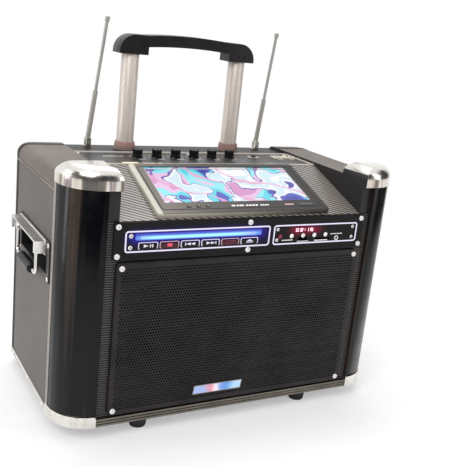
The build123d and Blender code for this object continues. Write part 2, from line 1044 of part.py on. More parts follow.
def knob(index):
    """Knob with a pointer groove on its crown, on a shaft through the panel."""
    x = knob_x(index)
    low = flat_z + knob_lift
    high = low + knob_height
    body = rod_z(x, knob_y, low, high, knob_radius)
    body = fillet(body.edges().sort_by(Axis.Z)[-1], knob_edge)
    body += rod_z(x, knob_y, low, low + knob_skirt_height, knob_radius + knob_skirt)
    groove = block(
        x - knob_groove / 2, x + knob_groove / 2, knob_y - knob_radius, knob_y, high - knob_groove, high
    )
    return body - groove + rod_z(x, knob_y, low - knob_shaft_length, low, knob_shaft_radius)


def jack_sockets():
    """Sockets for plugs: a collar on the panel and a sleeve below it."""
    pieces = []
    for index in range(jack_count):
        x = jack_x(index)
        high = flat_z + jack_collar_height
        low = high - jack_length
        piece = rod_z(x, jack_y, flat_z, high, jack_collar_radius)
        piece += rod_z(x, jack_y, low, flat_z, jack_collar_radius - jack_lap)
        pieces.append(piece - rod_z(x, jack_y, low + jack_lap, high + 1, jack_radius))
    return group(pieces)


def trolley_sleeves():
    """Outer tubes that stand on the bottom panel, each with a collar on the top board."""
    pieces = []
    for side in (-1, 1):
        x = side * tube_x
        sleeve = rod_z(x, tube_y, base_z + board, flat_z, sleeve_radius)
        collar_top = flat_z + sleeve_collar_height
        sleeve += rod_z(x, tube_y, flat_z, collar_top, sleeve_radius + sleeve_collar)
        sleeve -= rod_z(x, tube_y, sleeve_floor_z, collar_top + 1, tube_radius + slide_gap)
        pieces.append(sleeve)
    return group(pieces)


def trolley_tubes():
    """Inner tubes. Pushed in by their travel, they just reach the sleeves' floors."""
    pieces = []
    for side in (-1, 1):
        low = sleeve_floor_z + slide_gap + tube_travel
        high = flat_z + tube_rise
        tube = rod_z(side * tube_x, tube_y, low, high, tube_radius)
        pieces.append(tube - rod_z(side * tube_x, tube_y, low - 1, high + 1, tube_radius - tube_wall))
    return group(pieces)


def trolley_grip():
    """Moulded grip: an arched bar with a thick end over each tube."""
    low = flat_z + tube_rise - grip_socket_depth
    high = low + grip_height
    reach = tube_x + grip_end_width / 2
    inner = tube_x - grip_end_width / 2
    with BuildPart() as grip:
        with BuildSketch(Plane.XZ):
            with BuildLine():
                Polyline((-reach, low), (-reach, high), (-inner, high))
                ThreePointArc((-inner, high), (0, high + grip_arch), (inner, high))
                Polyline((inner, high), (reach, high), (reach, low), (inner, low))
                Line((inner, low), (inner, high - grip_bar_height))
                ThreePointArc(
                    (inner, high - grip_bar_height),
                    (0, high - grip_bar_height + grip_arch),
                    (-inner, high - grip_bar_height),
                )
                Polyline((-inner, high - grip_bar_height), (-inner, low), (-reach, low))
            make_face()
        extrude(amount=grip_depth / 2, both=True)
    body = Pos(0, tube_y, 0) * grip.part
    ends = [
        e
        for e in body.edges().filter_by(Axis.Y)
        if abs(e.center().X) > reach - 1 and e.center().Z > high - 1
    ]
    body = fillet(ends, grip_corner)
    for side in (-1, 1):
        hole = tube_radius + press_gap
        body -= rod_z(side * tube_x, tube_y, low - 1, flat_z + tube_rise + press_gap, hole)
    return body


def antenna_bases():
    """Foot with a fork for the antenna's knuckle pin, one at each side."""
    pieces = []
    for side in (-1, 1):
        x = side * antenna_x
        base = rod_z(x, antenna_y, flat_z, flat_z + antenna_base_height, antenna_base_radius)
        for way in (-1, 1):
            near = antenna_y + way * antenna_fork_gap / 2
            far = near + way * antenna_fork_wall
            low_y = min(near, far)
            high_y = max(near, far)
            half = antenna_lower_radius
            base += block(x - half, x + half, low_y, high_y, flat_z + antenna_base_height, pivot_z)
            base += rod_y(x, low_y, high_y, pivot_z, half)
        reach = antenna_fork_gap / 2 + antenna_fork_wall
        base += rod_y(x, antenna_y - reach, antenna_y + reach, pivot_z, antenna_pin_radius)
        pieces.append(base)
    return group(pieces)


def antenna_place(side):
    lean = antenna_lean_left if side < 0 else antenna_lean_right
    return Pos(side * antenna_x, antenna_y, pivot_z) * Rot(0, lean, 0)


def antenna_lower(side):
    """Knuckle and lower section, drawn upright about the pivot, then leaned."""
    flat = antenna_fork_gap / 2 - slide_gap
    neck = antenna_fork_wall + antenna_lower_radius
    section = rod_y(0, -flat, flat, 0, antenna_lower_radius)
    section += block(-flat, flat, -flat, flat, 0, neck)
    section += rod_z(0, 0, neck, antenna_lower_length, antenna_lower_radius)
    bore_floor = antenna_lower_length - antenna_upper_overlap - antenna_travel - slide_gap
    bore = antenna_upper_radius + slide_gap
    section -= rod_z(0, 0, bore_floor, antenna_lower_length + 1, bore)
    section -= rod_y(0, -flat - 1, flat + 1, 0, antenna_pin_radius + pin_gap)
    return antenna_place(side) * section


def antenna_upper(side):
    low = antenna_lower_length - antenna_upper_overlap
    high = low + antenna_upper_length
    tip = rod_z(0, 0, high, high + antenna_tip_length, antenna_tip_radius)
    tip = fillet(tip.edges(), knob_edge)
    return antenna_place(side) * (tip + rod_z(0, 0, low, high + knob_edge, antenna_upper_radius))


def left_dish():
    """Side handle's flanged dish, let into the side panel."""
    outer_x = -half_width - handle_flange
    flange = block(
        outer_x,
        -half_width,
        handle_y - handle_width / 2,
        handle_y + handle_width / 2,
        handle_z - handle_height / 2,
        handle_z + handle_height / 2,
    )
    flange = fillet(flange.edges().filter_by(Axis.X), handle_corner)
    half = handle_width / 2 - handle_recess_margin
    rise = handle_height / 2 - handle_recess_margin
    deep_x = -half_width + handle_recess
    dish = flange + block(
        -half_width, deep_x, handle_y - half, handle_y + half, handle_z - rise, handle_z + rise
    )
    return dish - block(
        outer_x - 1,
        deep_x - handle_wall,
        handle_y - half + handle_wall,
        handle_y + half - handle_wall,
        handle_z - rise + handle_wall,
        handle_z + rise - handle_wall,
    )


def left_bracket():
    """Bent metal bracket over the dish, with an ear at each end for the bail."""
    inner_x = -half_width - handle_flange
    back_x = inner_x - bracket_thickness
    outer_x = back_x - ear_reach
    reach = bail_span / 2 + bail_bend + slide_gap + ear_width
    low = handle_z + handle_height / 2 - bracket_height
    high = handle_z + handle_height / 2
    piece = block(back_x, inner_x, handle_y - reach, handle_y + reach, low, high)
    roof_z = bail_pivot_z + ear_height / 2
    piece += block(
        outer_x, back_x, handle_y - reach, handle_y + reach, roof_z, roof_z + bracket_thickness
    )
    for way in (-1, 1):
        near = handle_y + way * (reach - ear_width)
        far = handle_y + way * reach
        ear = block(
            outer_x,
            back_x,
            min(near, far),
            max(near, far),
            bail_pivot_z - ear_height / 2,
            roof_z,
        )
        ear -= rod_y(-bail_x, min(near, far) - 1, max(near, far) + 1, bail_pivot_z, bail_radius + pin_gap)
        piece += ear
    return piece


def left_bail():
    """Hanging bail: one bent wire with a pivot at each end, and a grip on its lower run."""
    half = bail_span / 2
    pin = half + bail_bend + slide_gap + ear_width
    low = bail_pivot_z - bail_drop
    corners = [(-pin, bail_pivot_z), (-half, bail_pivot_z), (-half, low)]
    corners += [(-y, z) for y, z in reversed(corners)]
    with BuildPart() as wire:
        with BuildLine(Plane.YZ) as path:
            FilletPolyline(*corners, radius=bail_bend)
        with BuildSketch(Plane(origin=path.line @ 0, z_dir=path.line % 0)):
            Circle(bail_radius)
        sweep()
    grip_half = bail_grip_length / 2
    grip = fillet(rod_y(0, -grip_half, grip_half, low, bail_grip_radius).edges(), bail_grip_edge)
    grip -= rod_y(0, -half, half, low, bail_radius)
    place = Pos(-bail_x, handle_y, 0)
    return group([place * wire.part, place * grip])


def right_housing():
    """Open well for a rear wheel, with the axle across it."""
    well = block(well_low_x, well_high_x, well_y, rear_y, base_z, well_z)
    well -= block(
        well_low_x + housing_wall,
        well_high_x - housing_wall,
        well_y + housing_roof,
        rear_y + 1,
        base_z - 1,
        well_z - housing_roof,
    )
    axle = rod_x(well_low_x, well_high_x, wheel_y, wheel_radius, axle_radius)
    return well + axle


def right_wheel():
    """Tyre and hub, turned round the axle."""
    half = wheel_width / 2
    wheel = rod_x(wheel_x - half, wheel_x + half, wheel_y, wheel_radius, wheel_radius)
    wheel = fillet(wheel.edges(), wheel_edge)
    for way in (-1, 1):
        low = wheel_x + min(way * half, way * (half - wheel_dish_depth))
        high = low + wheel_dish_depth
        dish = rod_x(low, high, wheel_y, wheel_radius, wheel_dish_radius)
        wheel -= dish - rod_x(low, high, wheel_y, wheel_radius, axle_radius * 2)
    bore = axle_radius + pin_gap
    return wheel - rod_x(wheel_x - half - 1, wheel_x + half + 1, wheel_y, wheel_radius, bore)


def feet():
    pieces = []
    for side in (-1, 1):
        cone = Cone(foot_radius - foot_taper, foot_radius, foot_height)
        pieces.append(Pos(side * foot_spacing / 2, foot_inset, foot_height / 2) * cone)
    return group(pieces)


def rear_plate():
    """Metal plate behind, with the mains inlet's well and the rocker's case."""
    high_y = rear_y + rear_plate_thickness
    half_plate = rear_plate_width / 2
    plate = block(
        -half_plate, half_plate, rear_y, high_y, rear_plate_z, rear_plate_z + rear_plate_height
    )
    plate = fillet(plate.edges().filter_by(Axis.Y), rear_plate_corner)
    x = -inlet_offset
    half = inlet_width / 2
    rise = inlet_height / 2
    back = rear_y - inlet_depth
    plate += block(
        x - half - inlet_wall,
        x + half + inlet_wall,
        back - inlet_wall,
        rear_y,
        rocker_z - rise - inlet_wall,
        rocker_z + rise + inlet_wall,
    )
    plate -= block(x - half, x + half, back, high_y + 1, rocker_z - rise, rocker_z + rise)
    for step in (-1, 0, 1):
        pin_x = x + step * inlet_pin_pitch
        pin_z = rocker_z - rise / 2
        plate += block(
            pin_x - inlet_pin / 4,
            pin_x + inlet_pin / 4,
            back,
            rear_y - inlet_wall,
            pin_z - inlet_pin / 2,
            pin_z + inlet_pin / 2,
        )
    hole_x = rocker_width / 2 + slide_gap
    hole_z = rocker_height / 2 + slide_gap
    well = block(
        rocker_offset - hole_x,
        rocker_offset + hole_x,
        rear_y - rocker_body,
        high_y + 1,
        rocker_z - hole_z,
        rocker_z + hole_z,
    )
    case = block(
        rocker_offset - hole_x - inlet_wall,
        rocker_offset + hole_x + inlet_wall,
        rear_y - rocker_body - inlet_wall,
        rear_y,
        rocker_z - hole_z - inlet_wall,
        rocker_z + hole_z + inlet_wall,
    )
    pin = rod_x(
        rocker_offset - hole_x, rocker_offset + hole_x, rear_y, rocker_z, rocker_pin_radius
    )
    return plate + case - well + pin


def power_rocker():
    """Rocker key with a shallow V face, tilted to its off side."""
    half = rocker_width / 2
    rise = rocker_height / 2 - slide_gap
    low_face = rocker_pin_radius + rocker_wall
    high_face = low_face + rocker_wall
    with BuildPart() as key:
        with BuildSketch(Plane.YZ):
            with BuildLine():
                Polyline(
                    (high_face, rise - rocker_wall / 2),
                    (low_face, 0),
                    (high_face, -rise + rocker_wall / 2),
                    (0, -rise),
                    (-low_face, -rise + 2 * rocker_wall),
                    (-low_face, rise - 2 * rocker_wall),
                    (0, rise),
                    close=True,
                )
            make_face()
        extrude(amount=half, both=True)
    piece = key.part - rod_x(-half - 1, half + 1, 0, 0, rocker_pin_radius + pin_gap)
    return Pos(rocker_offset, rear_y, rocker_z) * Rot(-rocker_angle / 2, 0, 0) * piece


def amplifier():
    """Finned heat sink with its circuit board, and the mains transformer on the floor."""
    low = rear_plate_z + heat_sink_rise
    high = low + heat_sink_height
    half = heat_sink_width / 2
    fin_y = rear_y - heat_sink_depth
    sink = block(-half, half, rear_y - heat_sink_base, rear_y, low, high)
    for index in range(heat_sink_fins):
        x = -half + index * (heat_sink_width - heat_sink_fin) / (heat_sink_fins - 1)
        sink += block(x, x + heat_sink_fin, fin_y, rear_y - heat_sink_base, low, high)
    sink += block(-half, half, fin_y - board_thickness, fin_y, low, high + heat_sink_base)
    edge_x = half_width - board - transformer_side_margin
    edge_y = rear_y - rear_board - transformer_back_margin
    floor = base_z + board
    core = block(
        edge_x - transformer_width,
        edge_x,
        edge_y - transformer_depth,
        edge_y,
        floor,
        floor + transformer_height,
    )
    core += block(
        edge_x - transformer_width + winding_margin,
        edge_x - winding_margin,
        edge_y - transformer_depth - winding_margin,
        edge_y + winding_margin,
        floor + winding_margin,
        floor + transformer_height - winding_margin,
    )
    return group([sink, core])


def battery():
    """Sealed block battery with two flat terminals."""
    back = rear_y - battery_back_margin
    floor = base_z + board
    top = floor + battery_height
    half = battery_width / 2
    front = back - battery_depth
    body = block(-half, half, front, back, floor, top)
    body = fillet(body.edges().filter_by(Axis.Z), battery_edge)
    for side in (-1, 1):
        x = side * (half - terminal_margin)
        body += block(
            x - terminal_width / 2,
            x + terminal_width / 2,
            front + terminal_margin,
            front + terminal_margin + terminal_thickness,
            top,
            top + terminal_width,
        )
    return body


def screw(x, y, z):
    """Pan-head screw whose axis runs along Y, with its head's seat at y."""
    head = rod_y(x, y - screw_head, y, z, screw_radius)
    head = fillet(head.edges().sort_by(Axis.Y)[0], screw_edge)
    shank = rod_y(x, y, y + screw_shank_length, z, screw_shank_radius)
    arm = screw_slot_length / 2
    wall = screw_slot / 2
    cross = block(x - arm, x + arm, y - screw_head, y - screw_head + screw_slot, z - wall, z + wall)
    cross += block(x - wall, x + wall, y - screw_head, y - screw_head + screw_slot, z - arm, z + arm)
    return head + shank - cross


def screw_places():
    """Heads on the player plate, then on the grille: x, y of the seat, z."""
    places = []
    plate_x = plate_half - screw_inset
    for z in (plate_low_z + screw_inset, plate_top_z - screw_inset):
        places += [(-plate_x, plate_front_y, z), (0, plate_front_y, z), (plate_x, plate_front_y, z)]
    front = front_recess - grille_depth
    grille_x = grille_half - screw_inset - grille_wall
    for z in (grille_low_z + screw_inset + grille_wall, grille_high_z - screw_inset - grille_wall):
        places += [(-grille_x, front, z), (grille_x, front, z)]
    return places


def front_screws():
    return group([screw(*place) for place in screw_places()])


def screw_holes(shape):
    for x, y, z in screw_places():
        shape -= rod_y(x, y - 1, y + screw_shank_length + 1, z, screw_shank_radius)
    return shape


parts = {
    "side_panels": pair(left_side_panel()),
    "bottom_panel": bottom_panel(),
    "rear_shell": rear_shell(),
    "cheeks": pair(left_cheek()),
    "front_columns": pair(left_column()),
    "chrome_corners": chrome_corners(),
    "side_trims": pair(left_trim()),
    "bottom_rail": bottom_rail(),
    "baffle": screw_holes(baffle()),
    "grille": screw_holes(grille()),
    "front_screws": front_screws(),
    "slope_panel": slope_panel(),
    "monitor_frame": monitor_frame(),
    "monitor_screen": monitor_screen(),
    "top_board": top_board(),
    "control_panel": control_panel(),
    "jack_sockets": jack_sockets(),
    "player_plate": screw_holes(player_plate()),
    "media_module": media_module(),
    "disc_chassis": disc_chassis(),
    "disc_tray": disc_tray(),
    "spindle": spindle(),
    "woofer": woofer(),
    "tweeter": tweeter(),
    "amplifier": amplifier(),
    "battery": battery(),
    "rear_plate": rear_plate(),
    "power_rocker": power_rocker(),
    "feet": feet(),
    "wheel_housings": pair(right_housing()),
    "wheel_right": right_wheel(),
    "wheel_left": mirrored(right_wheel()),
    "side_dishes": group([pair(left_dish()), pair(left_bracket())]),
    "bail_left": left_bail(),
    "bail_right": mirrored(left_bail()),
    "trolley_sleeves": trolley_sleeves(),
    "trolley_tubes": trolley_tubes(),
    "trolley_grip": trolley_grip(),
    "antenna_bases": antenna_bases(),
    "antenna_left_lower": antenna_lower(-1),
    "antenna_left_upper": antenna_upper(-1),
    "antenna_right_lower": antenna_lower(1),
    "antenna_right_upper": antenna_upper(1),
}
for number in range(knob_count):
    parts[f"knob_{number + 1}"] = knob(number)
for number in range(disc_button_count):
    parts[f"disc_button_{number + 1}"] = disc_button(number)
for number in range(round_button_count):
    parts[f"module_button_{number + 1}"] = module_button(number)

# The origin is put on the floor under the middle of the whole part.
boxes = [shape.bounding_box() for shape in parts.values()]
middle_y = (min(box.min.Y for box in boxes) + max(box.max.Y for box in boxes)) / 2
os.makedirs("parts", exist_ok=True)
for name, shape in parts.items():
    export_step(Pos(0, -middle_y, 0) * shape, f"parts/{name}.step")
print("nodes", len(parts), "shift along Y", round(-middle_y, 4))
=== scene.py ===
# %% [markdown]
# # Trolley loudspeaker with a disc player: the Blender scene
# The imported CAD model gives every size, place and joint. This notebook sets up a camera and soft
# light, writes procedural materials, and adds the fine pieces that CAD leaves out. Each piece
# rides on one CAD body, so that it moves with that body's joint.

import json
from math import atan2, cos, pi, radians, sin

import bmesh
import bpy
from mathutils import Matrix, Vector

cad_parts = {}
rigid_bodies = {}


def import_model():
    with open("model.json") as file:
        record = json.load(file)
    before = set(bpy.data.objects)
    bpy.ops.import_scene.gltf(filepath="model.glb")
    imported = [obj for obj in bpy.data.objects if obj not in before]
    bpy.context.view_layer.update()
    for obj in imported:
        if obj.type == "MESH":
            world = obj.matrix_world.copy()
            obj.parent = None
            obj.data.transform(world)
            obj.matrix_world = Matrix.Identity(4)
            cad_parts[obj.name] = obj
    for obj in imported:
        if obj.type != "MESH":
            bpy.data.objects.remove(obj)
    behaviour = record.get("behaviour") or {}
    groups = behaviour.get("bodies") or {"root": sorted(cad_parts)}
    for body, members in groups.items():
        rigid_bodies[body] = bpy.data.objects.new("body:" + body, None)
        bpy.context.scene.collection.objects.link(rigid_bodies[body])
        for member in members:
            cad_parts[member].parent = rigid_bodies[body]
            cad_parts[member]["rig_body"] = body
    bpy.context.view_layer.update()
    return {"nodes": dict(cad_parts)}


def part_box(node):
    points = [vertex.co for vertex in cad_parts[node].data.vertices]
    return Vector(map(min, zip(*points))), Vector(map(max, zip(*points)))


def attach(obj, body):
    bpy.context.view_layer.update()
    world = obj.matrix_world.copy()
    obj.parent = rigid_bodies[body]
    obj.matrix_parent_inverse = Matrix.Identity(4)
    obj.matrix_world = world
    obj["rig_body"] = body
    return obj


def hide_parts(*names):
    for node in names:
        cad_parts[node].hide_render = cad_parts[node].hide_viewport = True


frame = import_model()
nodes = frame["nodes"]

# %% [markdown]
# ## Places
# The frame is in metres with its origin under the middle of the object. A maker measures the case
# in millimetres from its front, so `at` turns such a place into the frame's metres. Places come
# from the boxes of CAD nodes, and so follow when a size changes there.

# %% Places
mm = 0.001
front_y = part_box("bottom_rail")[0].y


def at(x, y, z):
    """A point in millimetres, y measured back from the cabinet's front plane."""
    return Vector((x * mm, front_y + y * mm, z * mm))


def box_mm(node):
    """A node's lowest and highest corner in the same millimetres."""
    low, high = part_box(node)
    shift = Vector((0, front_y, 0))
    return (low - shift) / mm, (high - shift) / mm


def middle_of(node):
    """The middle of a node's box, in the same millimetres."""
    return [(low + high) / 2 for low, high in zip(*box_mm(node))]


print("front plane at", round(front_y, 4))

# %% [markdown]
# The panel that carries the monitor leans back between the baffle and the lid. Its angle is worked
# out from the two edges that it joins, so pieces can be laid on it by their distance up the slope.

# %% Slope
slope_low, slope_high = box_mm("slope_panel")
foot_y = slope_low.y
foot_z = box_mm("baffle")[1].z
top_y = slope_high.y
flat_z = slope_high.z
slope_angle = atan2(flat_z - foot_z, top_y - foot_y)


def on_slope(x, along, height):
    """A point by its distance up the sloped panel and its height above it."""
    y = foot_y + along * cos(slope_angle) - height * sin(slope_angle)
    z = foot_z + along * sin(slope_angle) + height * cos(slope_angle)
    return at(x, y, z)


print("slope", round(slope_angle, 3), "foot", round(foot_z, 1), "flat", round(flat_z, 1))

# %% [markdown]
# ## Camera
# It stands low in front, left of the middle, and rolls a few degrees, as the photograph does. Its
# three turns, about Z, X and Z again, are the walk round the object, the tilt and the roll. They,
# the place and the lens were fitted to the case's corners in the photograph.

# %% Camera
camera_place = (-0.48492, -0.93719, 0.52408)
camera_turns = (-0.52207, 1.29834, 0.10919)
camera_lens = 58.46

walk, tilt, roll = (Matrix.Rotation(turn, 4, axis) for turn, axis in zip(camera_turns, "ZXZ"))
camera_data = bpy.data.cameras.new("camera")
camera_data.lens = camera_lens
camera_data.sensor_width = 36
camera = bpy.data.objects.new("camera", camera_data)
camera.matrix_world = Matrix.Translation(camera_place) @ (walk @ tilt @ roll)
bpy.context.scene.collection.objects.link(camera)
bpy.context.scene.camera = camera
print("camera at", camera_place, "lens", camera_lens)

# %% [markdown]
# ## Writing materials
# A material is a tree of nodes whose sockets take a value or a link. One helper, `plug`, does
# either. Colours are given as they show on a screen, 0 to 255, because that is how paint is
# matched to a photograph, and `linear` turns them into the values that a shader takes.

# %% Colours and sockets


def linear(colour):
    """Turns a screen colour into a shader's."""
    def one(value):
        value = value / 255
        return value / 12.92 if value <= 0.04045 else ((value + 0.055) / 1.055) ** 2.4

    return (*map(one, colour), 1.0)


def shade(colour, share):
    """The same colour, darker."""
    return tuple(value * share for value in colour)


def plug(socket, value):
    """Links a socket or gives it a value. Three numbers for a colour are a screen colour."""
    if isinstance(value, bpy.types.NodeSocket):
        socket.id_data.links.new(value, socket)
    elif socket.type == "RGBA" and len(value) == 3:
        socket.default_value = linear(value)
    else:
        socket.default_value = value


print("mid grey", [round(v, 3) for v in linear((128, 128, 128))])

# %% [markdown]
# `Recipe` holds a tree while its nodes are added. Its few steps, such as sums, smooth edges, ramps,
# mixes and noise, are all that the finishes below need.

# %% Recipe


class Recipe:
    """A tree that is written step by step: a shared effect, a material or the room."""

    def __init__(self, tree):
        self.tree = tree
        self.coords = None

    def add(self, kind, inputs=None, **settings):
        """A node with its settings, and its inputs as values or links."""
        node = self.tree.nodes.new("ShaderNode" + kind)
        for key, value in settings.items():
            setattr(node, key, value)
        for key, value in (inputs or {}).items():
            plug(node.inputs[key], value)
        return node

    def maths(self, operation, *values):
        return self.add("Math", dict(enumerate(values)), operation=operation).outputs[0]

    def wave(self, value, period):
        """A sine that repeats after each period."""
        return self.maths("SINE", self.maths("MULTIPLY", value, 2 * pi / period))

    def smooth(self, value, low, high):
        """0 below low, 1 above high, smooth between them."""
        inputs = {0: value, 1: low, 2: high}
        return self.add("MapRange", inputs, interpolation_type="SMOOTHSTEP").outputs[0]

    def ramp(self, factor, stops, steps="LINEAR"):
        """Colours, each at its place from 0 to 1."""
        node = self.add("ValToRGB", {0: factor})
        elements = node.color_ramp.elements
        node.color_ramp.interpolation = steps
        while len(elements) < len(stops):
            elements.new(0.5)
        for element, (place, colour) in zip(elements, stops.items()):
            element.position = place
            element.color = linear(colour)
        return node.outputs[0]

    def mix(self, factor, first, second, blend="MIX"):
        inputs = {0: factor, 6: first, 7: second}
        return self.add("Mix", inputs, data_type="RGBA", blend_type=blend).outputs[2]

    def noise(self, scale, detail=2.0, vector=None, rough=0.5):
        """A cloudy value, read at the tree's own coordinates unless a vector is given."""
        vector = self.coords if vector is None else vector
        inputs = {"Vector": vector, "Scale": scale, "Detail": detail, "Roughness": rough}
        return self.add("TexNoise", inputs).outputs[0]

    def streaks(self, stretch, scale, detail):
        """Noise drawn out along one axis, as brushing is."""
        drawn = self.add("Mapping", {"Vector": self.coords, "Scale": stretch})
        return self.noise(scale, detail, drawn.outputs[0])

    def shift(self, vector, by, operation="ADD"):
        return self.add("VectorMath", {0: vector, 1: by}, operation=operation).outputs[0]

    def xyz(self):
        return self.add("SeparateXYZ", {0: self.coords}).outputs


print("recipe ready")

# %% [markdown]
# Two kinds of recipe follow. An `Effect` is a node group that several materials share, and gives
# out only numbers. A `Look` is one material, read at Object coordinates, so that its pattern stays
# on the piece when the piece moves.

# %% Effect and look


class Effect(Recipe):
    """A shared effect. It takes a vector and numbers."""

    def __init__(self, name, inputs, outputs):
        super().__init__(bpy.data.node_groups.new(name, "ShaderNodeTree"))
        panel = self.tree.interface
        panel.new_socket("Vector", in_out="INPUT", socket_type="NodeSocketVector")
        for label, value in inputs.items():
            socket = panel.new_socket(label, in_out="INPUT", socket_type="NodeSocketFloat")
            socket.default_value = value
        for label in outputs:
            panel.new_socket(label, in_out="OUTPUT", socket_type="NodeSocketFloat")
        self.given = self.tree.nodes.new("NodeGroupInput").outputs
        self.end = self.tree.nodes.new("NodeGroupOutput")
        self.coords = self.given["Vector"]

    def give(self, **values):
        for label, value in values.items():
            plug(self.end.inputs[label], value)


class Look(Recipe):
    """One material: its tree, its shader and its object coordinates."""

    def __init__(self, name):
        self.material = bpy.data.materials.new(name)
        self.material.use_nodes = True
        super().__init__(self.material.node_tree)
        self.tree.nodes.clear()
        self.shader = self.add("BsdfPrincipled")
        self.end = self.add("OutputMaterial", {0: self.shader.outputs[0]})
        self.coords = self.add("TexCoord").outputs["Object"]

    def set(self, **inputs):
        for key, value in inputs.items():
            plug(self.shader.inputs[key.replace("_", " ")], value)

    def use(self, effect, **inputs):
        inputs["Vector"] = self.coords
        return self.add("Group", inputs, node_tree=effect.tree).outputs

    def bump(self, height, strength, distance):
        """Raises the surface by a height and gives the finished material."""
        inputs = {"Height": height, "Strength": strength, "Distance": distance}
        self.set(Normal=self.add("Bump", inputs).outputs[0])
        return self.material


print("effects and looks ready")

# %% [markdown]
# ## Shared effects
# Embossed vinyl is a field of soft cells with fine creases between them. Smooth Voronoi cells give
# the pebbles, and two noises break up their height and their tone.

# %% Leather pebbles
pebbles = Effect("pebbled leather", {"Scale": 700.0}, ("Height", "Tone"))
cells = pebbles.add("TexVoronoi", {"Vector": pebbles.coords, "Scale": pebbles.given["Scale"]},
                    feature="SMOOTH_F1")
broad = pebbles.noise(14.0, 3.0)
fine = pebbles.noise(420.0, 2.0)
hollow = pebbles.maths("MULTIPLY", cells.outputs["Distance"], -1.4)
tone = pebbles.maths("MULTIPLY", broad, 0.7)
tone = pebbles.maths("ADD", tone, pebbles.maths("MULTIPLY", fine, 0.3))
pebbles.give(Height=pebbles.maths("ADD", hollow, fine), Tone=tone)
print("pebbles", len(pebbles.tree.nodes), "nodes")

# %% [markdown]
# A moulded part keeps the fine grain of its mould, and its colour drifts a little over a hand's
# width. Handling leaves faint smudges, which show as changes of roughness more than of colour.

# %% Moulded grain and smudges
grains = Effect("moulded grain", {"Scale": 900.0}, ("Height", "Tone"))
grains.give(Height=grains.noise(grains.given["Scale"], 4.0), Tone=grains.noise(22.0, 4.0))

smudges = Effect("smudges", {"Low": 0.1, "High": 0.3}, ("Roughness", "Mask"))
mask = smudges.smooth(smudges.noise(30.0, 5.0, rough=0.65), 0.35, 0.7)
least = smudges.given["Low"]
spread = smudges.maths("SUBTRACT", smudges.given["High"], least)
smudges.give(Roughness=smudges.maths("MULTIPLY_ADD", mask, spread, least), Mask=mask)
print("shared effects", len(bpy.data.node_groups))

# %% [markdown]
# ## Leatherette, plastics and metals
# The case is wrapped in embossed vinyl. A ramp on the pebbles' tone would do for flat light, but
# the creases fall into shade, so a second ramp on their height is mixed in as painted shade.

# %% Leatherette


def leather(name, dark, light, scale=700.0):
    """Embossed vinyl: pebbles between fine creases darkened with painted shade."""
    look = Look(name)
    pebble = look.use(pebbles, Scale=scale)
    colour = look.ramp(pebble["Tone"], {0.3: dark, 0.7: light})
    # Painted shade: the ramp on the height darkens the creases.
    crease_shade = look.ramp(pebble["Height"], {0.0: dark, 0.45: light})
    look.set(Base_Color=look.mix(0.35, colour, crease_shade), Roughness=0.5, Specular_IOR_Level=0.45)
    return look.bump(pebble["Height"], 0.5, 0.0004)


side_leather = leather("side leatherette", (72, 66, 62), (96, 88, 83))
cheek_leather = leather("cheek leatherette", (82, 74, 69), (112, 103, 96))
black_leather = leather("black leatherette", (15, 14, 14), (34, 32, 32), 560.0)
flange_leather = leather("flange leatherette", (52, 46, 44), (74, 67, 64))
print("leatherettes done")

# %% [markdown]
# Mouldings differ in colour, shine and grain only, so one function makes them all. `shine` lowers
# the reflection of dark parts, which would look dusty under the bright room otherwise.

# %% Plastics and rubber


def plastic(name, colour, rough=0.35, coat=0.0, scale=900.0, bump=0.12, shine=0.4):
    """A moulding with fine grain and smudges."""
    look = Look(name)
    grain = look.use(grains, Scale=scale)
    pale = tuple(min(255, value * 1.12 + 3) for value in colour)
    tint = look.ramp(grain["Tone"], {0.3: shade(colour, 0.82), 0.7: pale})
    smudge = look.use(smudges, Low=rough, High=rough + 0.12)
    look.set(Base_Color=tint, Roughness=smudge["Roughness"], Coat_Weight=coat, Coat_Roughness=0.08,
             Specular_IOR_Level=shine)
    return look.bump(grain["Height"], bump, 0.0002)


black_plastic = plastic("black plastic", (30, 29, 29))
grip_plastic = plastic("grip plastic", (19, 16, 16), 0.3, scale=1300.0, bump=0.2, shine=0.3)
knob_plastic = plastic("knob plastic", (12, 11, 12), 0.34, shine=0.25)
rubber = plastic("foot rubber", (26, 25, 25), 0.62, scale=700.0, bump=0.3)
dish_plastic = plastic("dish plastic", (34, 33, 33), 0.4)
board_black = plastic("painted board", (24, 23, 23), 0.5)
copper_ring = plastic("tube ring plastic", (146, 116, 108), 0.4)
slot_black = plastic("slot black", (14, 13, 13), 0.55)
cream_plastic = plastic("cream plastic", (214, 202, 176), 0.4)
bead_vinyl = plastic("bead vinyl", (118, 109, 100), 0.45)
red_key = plastic("red key", (58, 12, 26), 0.34)
cap_white = plastic("cap white", (236, 232, 230), 0.34, 0.2)
screen_rim = plastic("screen edge", (176, 168, 170), 0.28, 0.2)
remote_glass = plastic("remote glass", (26, 18, 22), 0.1, 0.8)
print("mouldings done")

# %% [markdown]
# Bare metal mirrors the room, and brushing draws its bump out along one axis. Lacquered tubes
# hardly mirror anything. `satin` makes them only part metallic, with upright streaks, because a
# full mirror would show the dark card instead of the pale tone that such tubes have.

# %% Metals


def metal(name, colour, rough, spread, brushed=None):
    """A metal with smudges, and brushing along one axis where asked."""
    look = Look(name)
    smudge = look.use(smudges, Low=rough, High=rough + spread)
    tint = look.mix(smudge["Mask"], colour, shade(colour, 0.9))
    look.set(Base_Color=tint, Metallic=1.0, Roughness=smudge["Roughness"])
    if brushed:
        return look.bump(look.streaks(brushed, 60.0, 3.0), 0.22, 0.0002)
    return look.bump(look.use(grains, Scale=300.0)["Height"], 0.05, 0.0001)


def satin(name, colour):
    """Brushed and lacquered metal."""
    look = Look(name)
    hair = look.streaks((90.0, 90.0, 1.2), 12.0, 4.0)
    tint = look.ramp(hair, {0.35: shade(colour, 0.88), 0.65: colour})
    look.set(Base_Color=tint, Metallic=0.35, Roughness=0.42)
    return look.bump(hair, 0.15, 0.0002)


